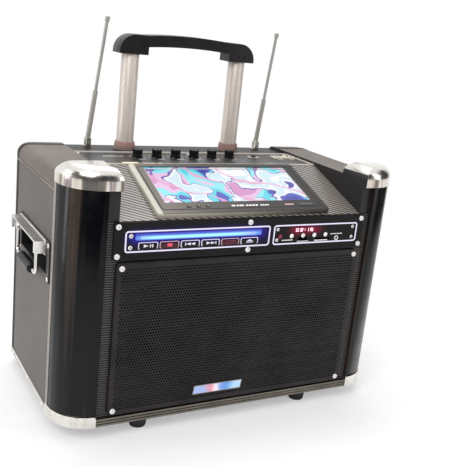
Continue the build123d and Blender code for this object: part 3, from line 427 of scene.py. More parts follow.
chrome = metal("chrome", (226, 223, 218), 0.14, 0.1)
bright_wire = metal("bright wire", (225, 223, 220), 0.12, 0.12)
bright_plate = metal("bright plate", (236, 234, 232), 0.2, 0.16)
rail_metal = metal("rail metal", (128, 122, 114), 0.32, 0.14, (0.4, 40.0, 40.0))
plated = metal("plated steel", (150, 148, 140), 0.3, 0.15)
dark_metal = metal("dark metal", (52, 50, 50), 0.36, 0.16)
tube_metal = satin("tube metal", (212, 202, 193))
trim_metal = satin("trim metal", (150, 144, 138))
antenna_metal = satin("antenna metal", (166, 162, 158))
screw_metal = satin("screw metal", (242, 240, 238))
print("materials", len(bpy.data.materials))

# %% [markdown]
# ## Corners and columns
# The chrome corners are softly plated. Below each dome runs an upright band of beige, dark and
# pale streaks, a painted reflection, while the dome stays clear. Real reflections would change with
# every view, so the reflection is painted into the colour, and a smooth step on the height fades it
# in.

# %% Corner chrome
corner_high = box_mm("chrome_corners")[1].z
look = Look("corner chrome")
# Painted reflection: upright streaks of dark, beige and pale tones in the base colour.
painted_reflection = look.ramp(look.streaks((1.0, 1.0, 0.05), 62.0, 3.0), {
    0.34: (40, 35, 34), 0.42: (120, 104, 88), 0.48: (214, 204, 188),
    0.56: (232, 228, 224), 0.62: (122, 104, 104), 0.7: (226, 214, 214)})
# The band mask lays the painted reflection below the dome, strongly on the upper corners and
# faintly on the lower.
height = look.xyz()[2]
band = look.smooth(height, (corner_high - 13) * mm, (corner_high - 16) * mm)
upper = look.smooth(height, 0.2, 0.21)
band = look.maths("MULTIPLY", band, look.maths("MULTIPLY_ADD", upper, 0.75, 0.1))
smudge = look.use(smudges, Low=0.16, High=0.3)
tint = look.mix(smudge["Mask"], (238, 235, 230), (220, 216, 209))
look.set(Base_Color=look.mix(band, tint, painted_reflection), Metallic=1.0, Roughness=smudge["Roughness"])
corner_chrome = look.bump(smudge["Mask"], 0.05, 0.0002)
print("corners are cloudy below", round(corner_high - 13, 1))

# %% [markdown]
# The quarter-round columns are near-black gloss with faint brown streaks from top to bottom, a
# painted reflection. The noise is stretched until a streak is as long as the column.

# %% Column gloss
look = Look("column gloss")
reflection_streak = look.streaks((40.0, 40.0, 0.9), 1.6, 3.0)
# Painted reflection: the brown tones of the ramp stand in for reflected light.
colour = look.ramp(reflection_streak, {0.38: (4, 5, 8), 0.5: (12, 11, 12), 0.64: (58, 49, 43),
                            0.78: (92, 80, 72)})
smudge = look.use(smudges, Low=0.2, High=0.32)
look.set(Base_Color=colour, Roughness=smudge["Roughness"], Specular_IOR_Level=0.22)
column_gloss = look.bump(reflection_streak, 0.05, 0.0006)
print("column gloss done")

# %% [markdown]
# ## Printed patterns
# The sloped panel carries a carbon print: dark and light grey lines that lean across it. An image
# would do, but two crossed sines give the same leaning lines, and stay sharp at any distance.

# %% Carbon pattern
hatch = Effect("diagonal hatch", {"Period": 0.006, "Lean": 0.6}, ("Line",))
period = hatch.given["Period"]
x, y = hatch.xyz()[:2]
leaning = hatch.maths("MULTIPLY_ADD", x, hatch.given["Lean"], y)
turns = hatch.maths("DIVIDE", leaning, period)
across = hatch.maths("MULTIPLY_ADD", y, -0.35, x)
steps = hatch.maths("DIVIDE", across, hatch.maths("MULTIPLY", period, 0.5))
crossed = hatch.maths("MULTIPLY_ADD", hatch.wave(steps, 1.0), 0.28, hatch.wave(turns, 1.0))
hatch.give(Line=hatch.smooth(crossed, -0.25, 0.75))

look = Look("carbon pattern")
line = look.use(hatch, Period=0.0062, Lean=0.55)["Line"]
grain = look.use(grains, Scale=500.0)
colour = look.mix(line, (26, 23, 22), (156, 148, 140))
colour = look.mix(look.maths("MULTIPLY", grain["Tone"], 0.2), colour, (70, 66, 62))
look.set(Base_Color=colour, Roughness=0.36, Coat_Weight=0.25, Coat_Roughness=0.12)
carbon = look.bump(line, 0.25, 0.0002)
print("carbon pattern done")

# %% [markdown]
# The baffle's strips beside the grille are finely grooved. A sine on the height gives both the
# dark lines and their bump, where hundreds of real grooves would only cost triangles.

# %% Hatched strips
look = Look("hatched strip")
line = look.smooth(look.wave(look.xyz()[2], 0.0031), -0.2, 0.6)
grain = look.use(grains, Scale=400.0)
colour = look.mix(line, (15, 14, 14), (96, 93, 91))
colour = look.mix(look.maths("MULTIPLY", grain["Tone"], 0.3), colour, (30, 27, 26))
look.set(Base_Color=colour, Roughness=0.5, Specular_IOR_Level=0.25)
hatched_strip = look.bump(line, 0.3, 0.0003)
print("hatched strips done")

# %% [markdown]
# ## Player plate, lit bar and module
# These places serve both the glow below and the small pieces later: the lit bar lies over the six
# disc buttons, and the display sits in the module beside them.

# %% Places on the player
outline_proud = 0.8
bar_past_buttons = 2
bar_over_buttons = 1.5
plate_low = box_mm("player_plate")[0]
plate_y = plate_low.y + outline_proud
tray_low, tray_high = box_mm("disc_tray")
module_low, module_high = box_mm("media_module")
button_end = box_mm("disc_button_6")[1]
bar_low_x = box_mm("disc_button_1")[0].x - bar_past_buttons
bar_high_x = button_end.x + bar_past_buttons
bar_x = (bar_low_x + bar_high_x) / 2
bar_half = (bar_high_x - bar_low_x) / 2
button_top = button_end.z
bar_z = (button_top + bar_over_buttons + tray_high.z) / 2
display_x = module_low.x + 48.4
display_z = module_high.z - 6
print("bar from", round(bar_low_x, 1), "to", round(bar_high_x, 1), "at", round(bar_z, 1))

# %% [markdown]
# The plate is black gloss. Light from the tray's bar spreads over it as a deep blue glow, and the
# display gives a small crimson one. A lamp hidden in the bar would light its surroundings too, but
# noisily and hard to aim, so the glow is emission that falls off with the distance from the bar.

# %% Glow


def glow(look, x, z, half, reach_x, reach_z):
    """Brightness round a bar on the front: its middle, half its length and how far it reaches."""
    parts = look.xyz()
    side = look.maths("ABSOLUTE", look.maths("SUBTRACT", parts[0], x * mm))
    past = look.maths("MAXIMUM", look.maths("SUBTRACT", side, half * mm), 0.0)
    away_x = look.maths("DIVIDE", past, reach_x * mm)
    away_z = look.maths("DIVIDE", look.maths("SUBTRACT", parts[2], z * mm), reach_z * mm)
    square = look.maths("MULTIPLY_ADD", away_x, away_x, look.maths("MULTIPLY", away_z, away_z))
    return look.maths("EXPONENT", look.maths("MULTIPLY", square, -1.0))


def lit_gloss(name, outline):
    """Black gloss that carries both glows; outline paints what stands proud pale lilac."""
    look = Look(name)
    blue = glow(look, bar_x, bar_z, bar_half, reach_x=10, reach_z=7.2)
    red = glow(look, display_x, display_z, 15, reach_x=9, reach_z=5.5)
    lit = look.mix(blue, (0, 0, 0), (36, 20, 158))
    lit = look.mix(red, lit, (128, 12, 50), "ADD")
    smudge = look.use(smudges, Low=0.1, High=0.22)
    body = (9, 8, 11)
    if outline:
        face = front_y + plate_low.y * mm
        half_way = outline_proud / 2
        behind = look.smooth(look.xyz()[1], face + half_way * mm, face + (half_way + 0.2) * mm)
        body = look.mix(behind, (222, 216, 238), body)
        lit = look.mix(behind, (70, 66, 84), lit)
    look.set(Base_Color=body, Roughness=smudge["Roughness"], Specular_IOR_Level=0.2,
             Emission_Color=lit, Emission_Strength=0.9)
    return look.bump(smudge["Mask"], 0.03, 0.0002)


plate_gloss = lit_gloss("plate gloss", True)
module_gloss = lit_gloss("module gloss", False)
print("plate and module gloss done")

# %% [markdown]
# The tray's front is a lit bar, palest in its middle. Only the first few millimetres of the tray
# glow, so that the rest stays dark when it slides out. A thin light guide in front of it, made
# later, has the brightest core.

# %% Lit bar and light guide
lit_depth = 3
dark_depth = 7
look = Look("lit bar")
core = glow(look, bar_x, bar_z, bar_half - 14, reach_x=16, reach_z=2.6)
wide = glow(look, bar_x, bar_z, bar_half, reach_x=10, reach_z=6.5)
shine = look.mix(wide, (26, 16, 70), (70, 60, 225))
shine = look.mix(core, shine, (140, 214, 255))
cloud = look.noise(90.0)
shine = look.mix(look.maths("MULTIPLY", cloud, 0.16), shine, (40, 60, 200))
ahead = look.smooth(look.xyz()[1], front_y + (tray_low.y + dark_depth) * mm,
                    front_y + (tray_low.y + lit_depth) * mm)
shine = look.mix(ahead, (0, 0, 0), shine)
body = look.mix(ahead, (20, 19, 21), (8, 8, 26))
look.set(Base_Color=body, Roughness=0.26, Emission_Color=shine, Emission_Strength=1.0)
lit_bar = look.bump(cloud, 0.05, 0.0002)

look = Look("guide light")
core = glow(look, bar_x - 6, bar_z, bar_half - 34, reach_x=26, reach_z=9)
cloud = look.noise(60.0)
shine = look.mix(core, (96, 92, 236), (126, 214, 255))
shine = look.mix(look.maths("MULTIPLY", cloud, 0.12), shine, (84, 120, 240))
look.set(Base_Color=(120, 130, 220), Roughness=0.2, Emission_Color=shine, Emission_Strength=1.1)
guide_light = look.bump(cloud, 0.03, 0.0002)
print("lit bar done")

# %% [markdown]
# ## Monitor
# The bezel is satin brown-grey plastic. Its colour darkens slowly from left to right, a painted
# shade away from the key light, and its left rim and lower sill carry painted highlights where the
# edges roll over. One ramp across the width gives the painted shade, and the surface's own
# direction, by a dot product, finds the sill.

# %% Monitor plastic
monitor_low, monitor_high = box_mm("monitor_frame")
left_highlight_width = 6.0
left_highlight_fade = 2.5
look = Look("monitor plastic")
grain = look.use(grains, Scale=1100.0)
across = look.xyz()[0]
# Painted shade: the share across the width darkens the bezel away from the key light.
share = look.maths("DIVIDE", look.maths("SUBTRACT", across, monitor_low.x * mm),
                   (monitor_high.x - monitor_low.x) * mm)
share = look.maths("ADD", share, look.maths("MULTIPLY_ADD", grain["Tone"], 0.2, -0.1))
tint = look.ramp(share, {0.0: (98, 92, 83), 0.3: (62, 57, 51), 0.6: (38, 34, 31),
                         1.0: (30, 27, 25)})
# Painted highlight along the left rim.
rim = look.smooth(across, (monitor_low.x + left_highlight_width + left_highlight_fade) * mm,
                  (monitor_low.x + left_highlight_width) * mm)
tint = look.mix(rim, tint, (176, 172, 160))
# Painted highlight on the lower sill, where the surface faces down the slope.
down_slope = (0.0, -cos(slope_angle), -sin(slope_angle))
facing = look.add("NewGeometry").outputs["Normal"]
down = look.add("VectorMath", {0: facing, 1: down_slope}, operation="DOT_PRODUCT")
sill_highlight = look.smooth(down.outputs["Value"], 0.5, 0.9)
sill_highlight_fade = look.smooth(share, 1.1, 0.0)
tint = look.mix(look.maths("MULTIPLY", sill_highlight, sill_highlight_fade), tint, (164, 158, 144))
smudge = look.use(smudges, Low=0.3, High=0.42)
look.set(Base_Color=tint, Roughness=smudge["Roughness"], Specular_IOR_Level=0.3)
monitor_plastic = look.bump(grain["Height"], 0.12, 0.0002)
print("monitor from", round(monitor_low.x, 1), "to", round(monitor_high.x, 1))

# %% [markdown]
# The screen shows a plain abstract picture: soft white and pale blue patches with violet edges over
# royal blue and cyan, crossed by pink bands. Noise bent by another noise, cut into a few flat
# colours by a stepped ramp, gives such patches without any image file.

# %% Screen picture
look = Look("screen picture")
warp = look.add("TexNoise", {"Vector": look.coords, "Scale": 16.0, "Detail": 2.0})
bend = look.shift(warp.outputs["Color"], (0.07, 0.07, 0.0), "MULTIPLY")
bent = look.shift(look.coords, bend)
back = look.ramp(look.noise(19.0, 1.0, bent), {
    0.0: (58, 70, 166), 0.42: (70, 88, 190), 0.47: (92, 214, 232), 0.55: (146, 236, 244),
    0.6: (236, 196, 232), 0.66: (214, 150, 200)}, "CONSTANT")
patch = look.noise(27.0, 1.6, look.shift(bent, (0.31, 0.17, 0.4)))
front = look.ramp(patch, {0.0: (126, 98, 178), 0.52: (240, 246, 250), 0.57: (214, 236, 246),
                          0.63: (250, 250, 252)}, "CONSTANT")
picture = look.mix(look.smooth(patch, 0.499, 0.503), back, front)
bands = look.add("TexWave", {"Vector": bent, "Scale": 9.0, "Distortion": 5.0, "Detail": 1.0,
                             "Detail Scale": 2.0}, bands_direction="DIAGONAL")
band = look.smooth(bands.outputs["Fac"], 0.972, 0.98)
picture = look.mix(look.maths("MULTIPLY", band, 0.85), picture, (236, 168, 206))
dots = look.wave(look.xyz()[0], 0.0016)
picture = look.mix(look.maths("MULTIPLY_ADD", dots, 0.02, 0.04), picture, (40, 44, 90))
look.set(Base_Color=(12, 12, 16), Roughness=0.16, Emission_Color=picture, Emission_Strength=0.98)
screen_picture = look.bump(warp.outputs[0], 0.02, 0.0002)
print("screen picture", len(look.tree.nodes), "nodes")

# %% [markdown]
# ## Printed paints
# Icons, ticks and frames are screen printed, so their edges are sharp and their colour is a little
# uneven. Some are lit from behind, and glow in their own colour.

# %% Printed paints


def printed(name, colour, strength=0.0, rough=0.4):
    """Paint or a small lit mark."""
    look = Look(name)
    grain = look.use(grains, Scale=1500.0)
    tint = look.ramp(grain["Height"], {0.3: shade(colour, 0.86), 0.7: colour})
    look.set(Base_Color=tint, Roughness=rough)
    if strength:
        look.set(Emission_Color=tint, Emission_Strength=strength)
    return look.bump(grain["Height"], 0.08, 0.0001)


lilac_paint = printed("lilac paint", (220, 214, 236), 0.25)
white_paint = printed("white paint", (236, 232, 232))
pink_paint = printed("pink paint", (214, 176, 176))
red_light = printed("red light", (222, 66, 86), 0.75)
dark_red = printed("dark red paint", (120, 26, 48), 0.3)
digit_light = printed("digit light", (255, 206, 220), 1.1)
silver_paint = printed("silver paint", (176, 170, 164), rough=0.3)
# The edge paint is a painted highlight for the control panel's edge.
edge_highlight_paint = printed("edge paint", (214, 204, 194), rough=0.3)
print("materials", len(bpy.data.materials))

# %% [markdown]
# ## Floor, light and background
# The floor is pale and plain. It keeps the soft shadow close to the object and turns plain white
# farther out, where it meets the background. A big white floor alone would show its far edge, so
# the material itself blends into white light with the distance from the middle.

# %% Floor


def new_object(name, shape, material):
    """Turns a bmesh into an object at the origin."""
    data = bpy.data.meshes.new(name)
    shape.to_mesh(data)
    shape.free()
    made = bpy.data.objects.new(name, data)
    made.data.materials.append(material)
    bpy.context.scene.collection.objects.link(made)
    return made


shadow_radius = 0.34
white_radius = 0.8
least_white = 0.38
look = Look("studio floor")
parts = look.xyz()
flat = look.add("CombineXYZ", {0: parts[0], 1: parts[1]}).outputs[0]
reach = look.add("VectorMath", {0: flat}, operation="LENGTH").outputs["Value"]
far = look.smooth(reach, shadow_radius, white_radius)
far = look.maths("MULTIPLY_ADD", far, 1 - least_white, least_white)
tint = look.ramp(look.use(grains, Scale=60.0)["Tone"], {0.3: (238, 238, 238),
                                                        0.7: (242, 242, 242)})
look.set(Base_Color=tint, Roughness=0.7, Specular_IOR_Level=0.2)
white = look.add("Emission", {"Color": (1, 1, 1, 1), "Strength": 1.0}).outputs[0]
blend = look.add("MixShader", {0: far, 1: look.shader.outputs[0], 2: white})
plug(look.end.inputs[0], blend.outputs[0])

shape = bmesh.new()
bmesh.ops.create_circle(shape, cap_ends=True, segments=96, radius=5.0)
floor = new_object("floor", shape, look.material)
print("floor laid")

# %% [markdown]
# The room is white to the camera and in reflections, and a softer grey as a source of light.
# Four soft boxes shape the object: a key light from the left, a weak fill, one above, and a strip
# that grazes the side.

# %% Room and soft boxes
world = bpy.data.worlds.new("studio")
bpy.context.scene.world = world
world.use_nodes = True
room = Recipe(world.node_tree)
room.tree.nodes.clear()
ray = room.add("LightPath").outputs
seen = room.maths("MAXIMUM", ray["Is Camera Ray"], ray["Is Glossy Ray"])
seen = room.maths("MAXIMUM", seen, ray["Is Transmission Ray"])
colour = room.mix(seen, (0.66, 0.66, 0.66, 1), (1, 1, 1, 1))
background = room.add("Background", {"Color": colour, "Strength": 1.0})
room.add("OutputWorld", {0: background.outputs[0]})


def soft_box(name, place, aim, width, height, power):
    """An area light that faces a point."""
    data = bpy.data.lights.new(name, "AREA")
    data.shape = "RECTANGLE"
    data.size = width
    data.size_y = height
    data.energy = power
    lamp = bpy.data.objects.new(name, data)
    turn = (Vector(aim) - Vector(place)).to_track_quat("-Z", "Y").to_matrix().to_4x4()
    lamp.matrix_world = Matrix.Translation(place) @ turn
    bpy.context.scene.collection.objects.link(lamp)


case_middle = (0.0, 0.0, 0.2)
soft_box("key", (-1.3, -1.2, 1.7), case_middle, 1.1, 1.1, 26)
soft_box("fill", (1.5, -1.5, 0.9), case_middle, 0.5, 1.6, 9)
soft_box("top", (0.1, 0.5, 1.9), case_middle, 1.4, 1.0, 20)
soft_box("side strip", (-1.7, 0.3, 0.5), (-0.2, 0.0, 0.2), 0.25, 1.2, 7)
bpy.context.scene.view_settings.view_transform = "Standard"

# %% [markdown]
# In an all-white room chrome and black gloss lose their shape. A dark curved card stands on the
# camera's side, one upright edge spun part of the way round. Only reflections see it, with the
# soft boxes in front of it.

# %% Dark card
card_radius = 3.2
card_start = radians(172)
look = Look("card cloth")
tint = look.ramp(look.use(grains, Scale=20.0)["Tone"], {0.3: (40, 39, 38), 0.7: (54, 52, 50)})
look.set(Base_Color=tint, Roughness=0.9)
shape = bmesh.new()
ends = [shape.verts.new((card_radius * cos(card_start), card_radius * sin(card_start), height))
        for height in (0.02, 2.9)]
bmesh.ops.spin(shape, geom=[*ends, shape.edges.new(ends)], cent=(0, 0, 0), axis=(0, 0, 1),
               angle=radians(200), steps=40)
card = new_object("dark_card", shape, look.material)
card.visible_camera = False
card.visible_diffuse = False
card.visible_shadow = False
print("card faces", len(card.data.polygons))

# %% [markdown]
# ## Finishes on the CAD nodes
# Most CAD nodes stay in view. Their meshes are loose triangles, so a weld joins them first, and
# then a narrow bevel rounds the edges, as on real parts. Both are modifiers, which leave the
# node's own mesh as it came.

# %% Rounded edges
wide_bevel = 2
bevel_segments = {False: 2, True: 5}


def finish(node, material, bevel=0.5):
    """Gives a CAD node its material and, unless bevel is 0, rounded edges in millimetres."""
    shown = nodes[node]
    shown.data.materials.clear()
    shown.data.materials.append(material)
    if bevel:
        weld = shown.modifiers.new("weld", "WELD")
        weld.merge_threshold = 2e-6
        edge = shown.modifiers.new("edge", "BEVEL")
        edge.width = bevel * mm
        edge.segments = bevel_segments[bevel > wide_bevel]
        edge.limit_method = "ANGLE"
        edge.angle_limit = radians(40)
        edge.harden_normals = True
        edge.use_clamp_overlap = True


print("bevel segments, narrow and wide:", *bevel_segments.values())

# %% [markdown]
# One table gives each finish its nodes and the width of their edges. Thin, round or hidden parts
# get 0, because a bevel wider than their own edges would dent them.

# %% Finishes on the CAD nodes
finishes = {
    side_leather: {"side_panels": 0.6},
    cheek_leather: {"cheeks": 0.6},
    black_leather: {"rear_shell": 0.8, "top_board": 0.4},
    column_gloss: {"front_columns": 0.3},
    corner_chrome: {"chrome_corners": 0.5},
    chrome: {"jack_sockets": 0.2, "antenna_bases": 0.3},
    antenna_metal: {"antenna_left_upper": 0, "antenna_right_upper": 0,
                    "antenna_left_lower": 0, "antenna_right_lower": 0},
    trim_metal: {"side_trims": 0.4},
    rail_metal: {"bottom_rail": 0.25},
    hatched_strip: {"baffle": 0},
    carbon: {"slope_panel": 0.3},
    monitor_plastic: {"monitor_frame": 0.6},
    screen_picture: {"monitor_screen": 0},
    black_plastic: {"control_panel": 0.4, "power_rocker": 0.5, "wheel_housings": 0.4,
                    "spindle": 0.2},
    plate_gloss: {"player_plate": 0.15},
    module_gloss: {"media_module": 0.2},
    lit_bar: {"disc_tray": 0.25},
    plated: {"disc_chassis": 0, "amplifier": 0.3},
    board_black: {"bottom_panel": 0.5, "battery": 0.8, "woofer": 0},
    dark_metal: {"rear_plate": 0.3, "tweeter": 0},
    screw_metal: {"front_screws": 0.15},
    rubber: {"feet": 0.8, "wheel_left": 0.8, "wheel_right": 0.8},
    dish_plastic: {"side_dishes": 0.5},
    bright_wire: {"bail_left": 0, "bail_right": 0},
    copper_ring: {"trolley_sleeves": 0.6},
    tube_metal: {"trolley_tubes": 0.3},
    grip_plastic: {"trolley_grip": 5.5},
}
for material, members in finishes.items():
    for node, bevel in members.items():
        finish(node, material, bevel)
for node in nodes:
    if node.startswith("knob_"):
        finish(node, knob_plastic, 0.3)
    elif node.startswith(("disc_button", "module_button")):
        finish(node, knob_plastic, 0.25)
print("nodes with rounded edges", sum(len(node.modifiers) > 0 for node in nodes.values()))

# %% [markdown]
# ## Making pieces
# Every added piece is a mesh whose points are already in place, so its object stays at the origin
# and rides on its CAD body. Blender's own cube, bevel and spin operators make the solid ones.

# %% Boxes and turned shapes


def piece(name, shape, material, node, smooth=False):
    """Turns a bmesh into a piece that rides with a CAD node's body."""
    bmesh.ops.recalc_face_normals(shape, faces=shape.faces)
    made = new_object(name, shape, material)
    for polygon in made.data.polygons:
        polygon.use_smooth = smooth
    if smooth:
        made.data.set_sharp_from_angle(angle=radians(38))
    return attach(made, nodes[node]["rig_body"])


def turn_to(axis):
    """The turn that brings Z onto an axis."""
    return Vector(axis).to_track_quat("Z", "Y").to_matrix().to_4x4()


def sized(x, y, z):
    """The scaling that makes a unit cube this size in millimetres."""
    return Matrix.Diagonal((x * mm, y * mm, z * mm, 1.0))


def add_box(shape, low, high, bevel=0.0, segments=2):
    """A box between two points in millimetres, with its edges rounded."""
    size = Vector(high) - Vector(low)
    centre = (Vector(high) + Vector(low)) / 2
    place = Matrix.Translation(at(*centre)) @ sized(*size)
    made = bmesh.ops.create_cube(shape, size=1.0, matrix=place)
    if bevel:
        edges = {edge for vert in made["verts"] for edge in vert.link_edges}
        bmesh.ops.bevel(shape, geom=list(edges), offset=bevel * mm, segments=segments,
                        affect="EDGES", profile=0.5, material=-1)


def add_lathe(shape, profile, place, axis, steps=48):
    """Spins (radius, height) points in millimetres about an axis through a point in the frame."""
    base = Matrix.Translation(place) @ turn_to(axis)
    verts = [shape.verts.new(base @ Vector((r * mm, 0, h * mm))) for r, h in profile]
    edges = [shape.edges.new(pair) for pair in zip(verts, verts[1:])]
    bmesh.ops.spin(shape, geom=verts + edges, cent=place, axis=Vector(axis).normalized(),
                   angle=2 * pi, steps=steps, use_merge=True)
    bmesh.ops.remove_doubles(shape, verts=shape.verts, dist=1e-7)


print("boxes and turned shapes ready")

# %% [markdown]
# Prints, labels and frames are flat outlines raised by a fraction of a millimetre. An outline is
# drawn in two directions, and a placing function says where it lies: on the front, on the lid, on
# the slope or behind. The raised part is extruded, and its hidden base is taken away.

# %% Outlines


def rounded(width, height, radius, x=0.0, y=0.0, steps=6):
    """Points of a rounded rectangle about its centre."""
    points = []
    for turn, (sx, sy) in enumerate(((1, 1), (-1, 1), (-1, -1), (1, -1))):
        for step in range(steps + 1):
            angle = (turn + step / steps) * pi / 2
            points.append((x + (sx * (width / 2 - radius) + radius * cos(angle)),
                           y + (sy * (height / 2 - radius) + radius * sin(angle))))
    return points


def circle(radius, steps=32, x=0.0, y=0.0):
    return [(x + radius * cos(2 * pi * k / steps), y + radius * sin(2 * pi * k / steps))
            for k in range(steps)]


def rectangle(x0, x1, y0, y1, lean=0.0):
    return [(x0, y0), (x1, y0), (x1 + lean, y1), (x0 + lean, y1)]


def moved(outline, x, y):
    return [(px + x, py + y) for px, py in outline]


def on_front(face_y):
    """Places outline points on a face that looks forward, at face_y."""
    return lambda x, z, lift: at(x, face_y - lift, z)


def on_top(face_z):
    return lambda x, y, lift: at(x, y, face_z + lift)


print("a rounded outline has", len(rounded(10, 10, 1)), "points")

# %% [markdown]
# Two ways of raising are enough. A plain shape is one face, extruded. A frame is two outlines whose
# edge loops are bridged and then extruded together, so its opening stays open.

# %% Raised shapes


def lift_new(shape, extruded, lift):
    """Moves what an extrusion has made."""
    verts = [item for item in extruded["geom"] if isinstance(item, bmesh.types.BMVert)]
    bmesh.ops.translate(shape, vec=lift, verts=verts)


def raise_faces(shape, faces, place, height):
    """Extrudes faces away from the surface that they lie on, and takes the hidden base away."""
    extruded = bmesh.ops.extrude_face_region(shape, geom=faces)
    lift_new(shape, extruded, place(0, 0, height) - place(0, 0, 0.0))
    bmesh.ops.delete(shape, geom=faces, context="FACES")


def add_flat(shape, outline, place, height):
    """A thin raised shape. place(x, y, lift) gives the frame's point for each outline point."""
    face = shape.faces.new([shape.verts.new(place(x, y, 0.0)) for x, y in outline])
    raise_faces(shape, [face], place, height)


def add_ring(shape, outer, inner, place, height):
    """A thin raised frame between two outlines that have as many points."""
    edges = []
    for outline in (outer, inner):
        verts = [shape.verts.new(place(x, y, 0.0)) for x, y in outline]
        edges += [shape.edges.new(pair) for pair in zip(verts, verts[1:] + verts[:1])]
    faces = bmesh.ops.bridge_loops(shape, edges=edges)["faces"]
    raise_faces(shape, faces, place, height)


def flats(name, outlines, place, height, material, node, smooth=False):
    """A piece of thin raised shapes."""
    shape = bmesh.new()
    for outline in outlines:
        add_flat(shape, outline, place, height)
    return piece(name, shape, material, node, smooth)


def frames(name, pairs, place, height, material, node):
    """A piece of thin raised frames, each between an outer and an inner outline."""
    shape = bmesh.new()
    for outer, inner in pairs:
        add_ring(shape, outer, inner, place, height)
    return piece(name, shape, material, node)


print("raised shapes ready")

# %% [markdown]
# ## Grille
# The CAD grille is a plain folded sheet, and here it gets its staggered holes. Cutting thousands
# of holes with booleans is slow, so the sheet is laid out in cells instead: each is a square with
# an eight-sided hole, whose edge turns back by the sheet's thickness.

# %% Perforated sheet
grille_low, grille_high = box_mm("grille")
grille_y = grille_low.y
pitch = 3.7
hole = 1.3
hole_lip = 0.25
sheet = 1.2
margin = 5.0
width = grille_high.x - grille_low.x
height = grille_high.z - grille_low.z
columns = int((width - 2 * margin) // pitch)
rows = int((height - 2 * margin) // pitch)
centre_x = (grille_low.x + grille_high.x) / 2
centre_z = (grille_low.z + grille_high.z) / 2
left = centre_x - columns * pitch / 2
bottom = centre_z - rows * pitch / 2
rim = [(-1, -1), (0, -1), (1, -1), (1, 0), (1, 1), (0, 1), (-1, 1), (-1, 0)]
hole_angles = [radians(225 + 45 * k) for k in range(8)]
shape = bmesh.new()


def line_of(shape, points, y):
    """New vertices through (x, z) points at a depth."""
    return [shape.verts.new(at(x, y, z)) for x, z in points]


def join(shape, first, second):
    """Faces between two closed lines with as many points."""
    for k in range(len(first)):
        after = (k + 1) % len(first)
        shape.faces.new((first[k], first[after], second[after], second[k]))


for row in range(rows):
    offset = (row % 2) * pitch / 2
    z = bottom + (row + 0.5) * pitch
    if offset:
        for x0 in (left, left + columns * pitch - offset):
            half_cell = rectangle(x0, x0 + offset, z - pitch / 2, z + pitch / 2)
            shape.faces.new(line_of(shape, half_cell, grille_y))
    for column in range(columns - (row % 2)):
        x = left + offset + (column + 0.5) * pitch
        cell = [(x + sx * pitch / 2, z + sz * pitch / 2) for sx, sz in rim]
        round_hole = [(x + hole * cos(a), z + hole * sin(a)) for a in hole_angles]
        front = line_of(shape, round_hole, grille_y + hole_lip)
        join(shape, line_of(shape, cell, grille_y), front)
        join(shape, front, line_of(shape, round_hole, grille_y + sheet))
print("grille holes", rows * columns)

# %% [markdown]
# Round the holes lies a plain margin with rounded corners, and its edge folds back in three short
# steps, as pressed sheet does. The paint is thin and takes the light softly.

# %% Folded edge
corner_steps = 6
corner_radius = 5
roll = 1.5
inner = []
for sx, sy in ((1, 1), (-1, 1), (-1, -1), (1, -1)):
    corner = (centre_x + sx * columns * pitch / 2, centre_z + sy * rows * pitch / 2)
    inner += [corner] * (corner_steps + 1)
fold = [(0.0, 0.0), (0.9, 0.5), (roll, roll), (roll, grille_high.y - grille_low.y)]
line = line_of(shape, inner, grille_y)
for out, back in fold:
    outline = rounded(width - 2 * (roll - out), height - 2 * (roll - out), corner_radius + out,
                      centre_x, centre_z, corner_steps)
    after = line_of(shape, outline, grille_y + back)
    join(shape, line, after)
    line = after
bmesh.ops.remove_doubles(shape, verts=shape.verts, dist=1e-6)
bmesh.ops.dissolve_degenerate(shape, dist=1e-7, edges=shape.edges)

look = Look("grille paint")
grain = look.use(grains, Scale=600.0)
tint = look.ramp(grain["Tone"], {0.3: (17, 14, 14), 0.7: (34, 29, 29)})
look.set(Base_Color=tint, Roughness=0.44, Specular_IOR_Level=0.3)
grille_paint = look.bump(grain["Height"], 0.15, 0.0002)
grille_piece = piece("grille_sheet", shape, grille_paint, "grille")
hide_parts("grille")
print("grille faces", len(grille_piece.data.polygons))

# %% [markdown]
# Badge: a plain slanted plate whose blue and pinkish red run into each other like enamel. A ramp
# across its width gives the colours, and a little noise keeps their borders from being straight.

# %% Badge
badge = (-60, 10, 46.5, 57)
badge_lean = 1.6
look = Look("badge")
share = look.smooth(look.xyz()[0], badge[0] * mm, badge[1] * mm)
warp = look.noise(70.0)
share = look.maths("ADD", share, look.maths("MULTIPLY_ADD", warp, 0.3, -0.15))
tint = look.ramp(share, {0.1: (160, 180, 230), 0.28: (228, 146, 160), 0.44: (244, 236, 244),
                         0.62: (122, 156, 222), 0.8: (84, 146, 222), 1.0: (176, 212, 246)})
look.set(Base_Color=tint, Roughness=0.2, Coat_Weight=0.5)
badge_enamel = look.bump(warp, 0.03, 0.0002)
plate = rectangle(*badge, badge_lean)
border = rectangle(badge[0] - 1, badge[1] + 1, badge[2] - 1, badge[3] + 1, badge_lean)
flats("badge_plate", [plate], on_front(grille_y), 0.45, badge_enamel, "grille")
frames("badge_rim", [(border, plate)], on_front(grille_y), 0.5, trim_metal, "grille")
print("badge added")

# %% [markdown]
# ## Second finishes
# Some CAD nodes hold pieces of two finishes: the dark inner sides of the cheeks, the bright
# brackets of the side handles, and the bails' black grips. `paint` gives a second material to the
# faces whose middle point passes a test, because a node's mesh isn't to be cut.

# %% Cheeks and dishes


def paint(node, material, test):
    """Gives a material to the faces of a node whose middle, in millimetres, passes a test."""
    data = nodes[node].data
    data.materials.append(material)
    painted = 0
    for polygon in data.polygons:
        centre = (polygon.center - Vector((0, front_y, 0))) / mm
        if test(centre, polygon.normal):
            polygon.material_index = len(data.materials) - 1
            painted += 1
    print(node, material.name, painted, "of", len(data.polygons))


cheek_inner = slope_high.x + 1
side_low, side_high = box_mm("side_panels")
side_x = -side_low.x
flange_x = side_x - 0.5
dish_face = side_x + 2.2
upper_corner = 200


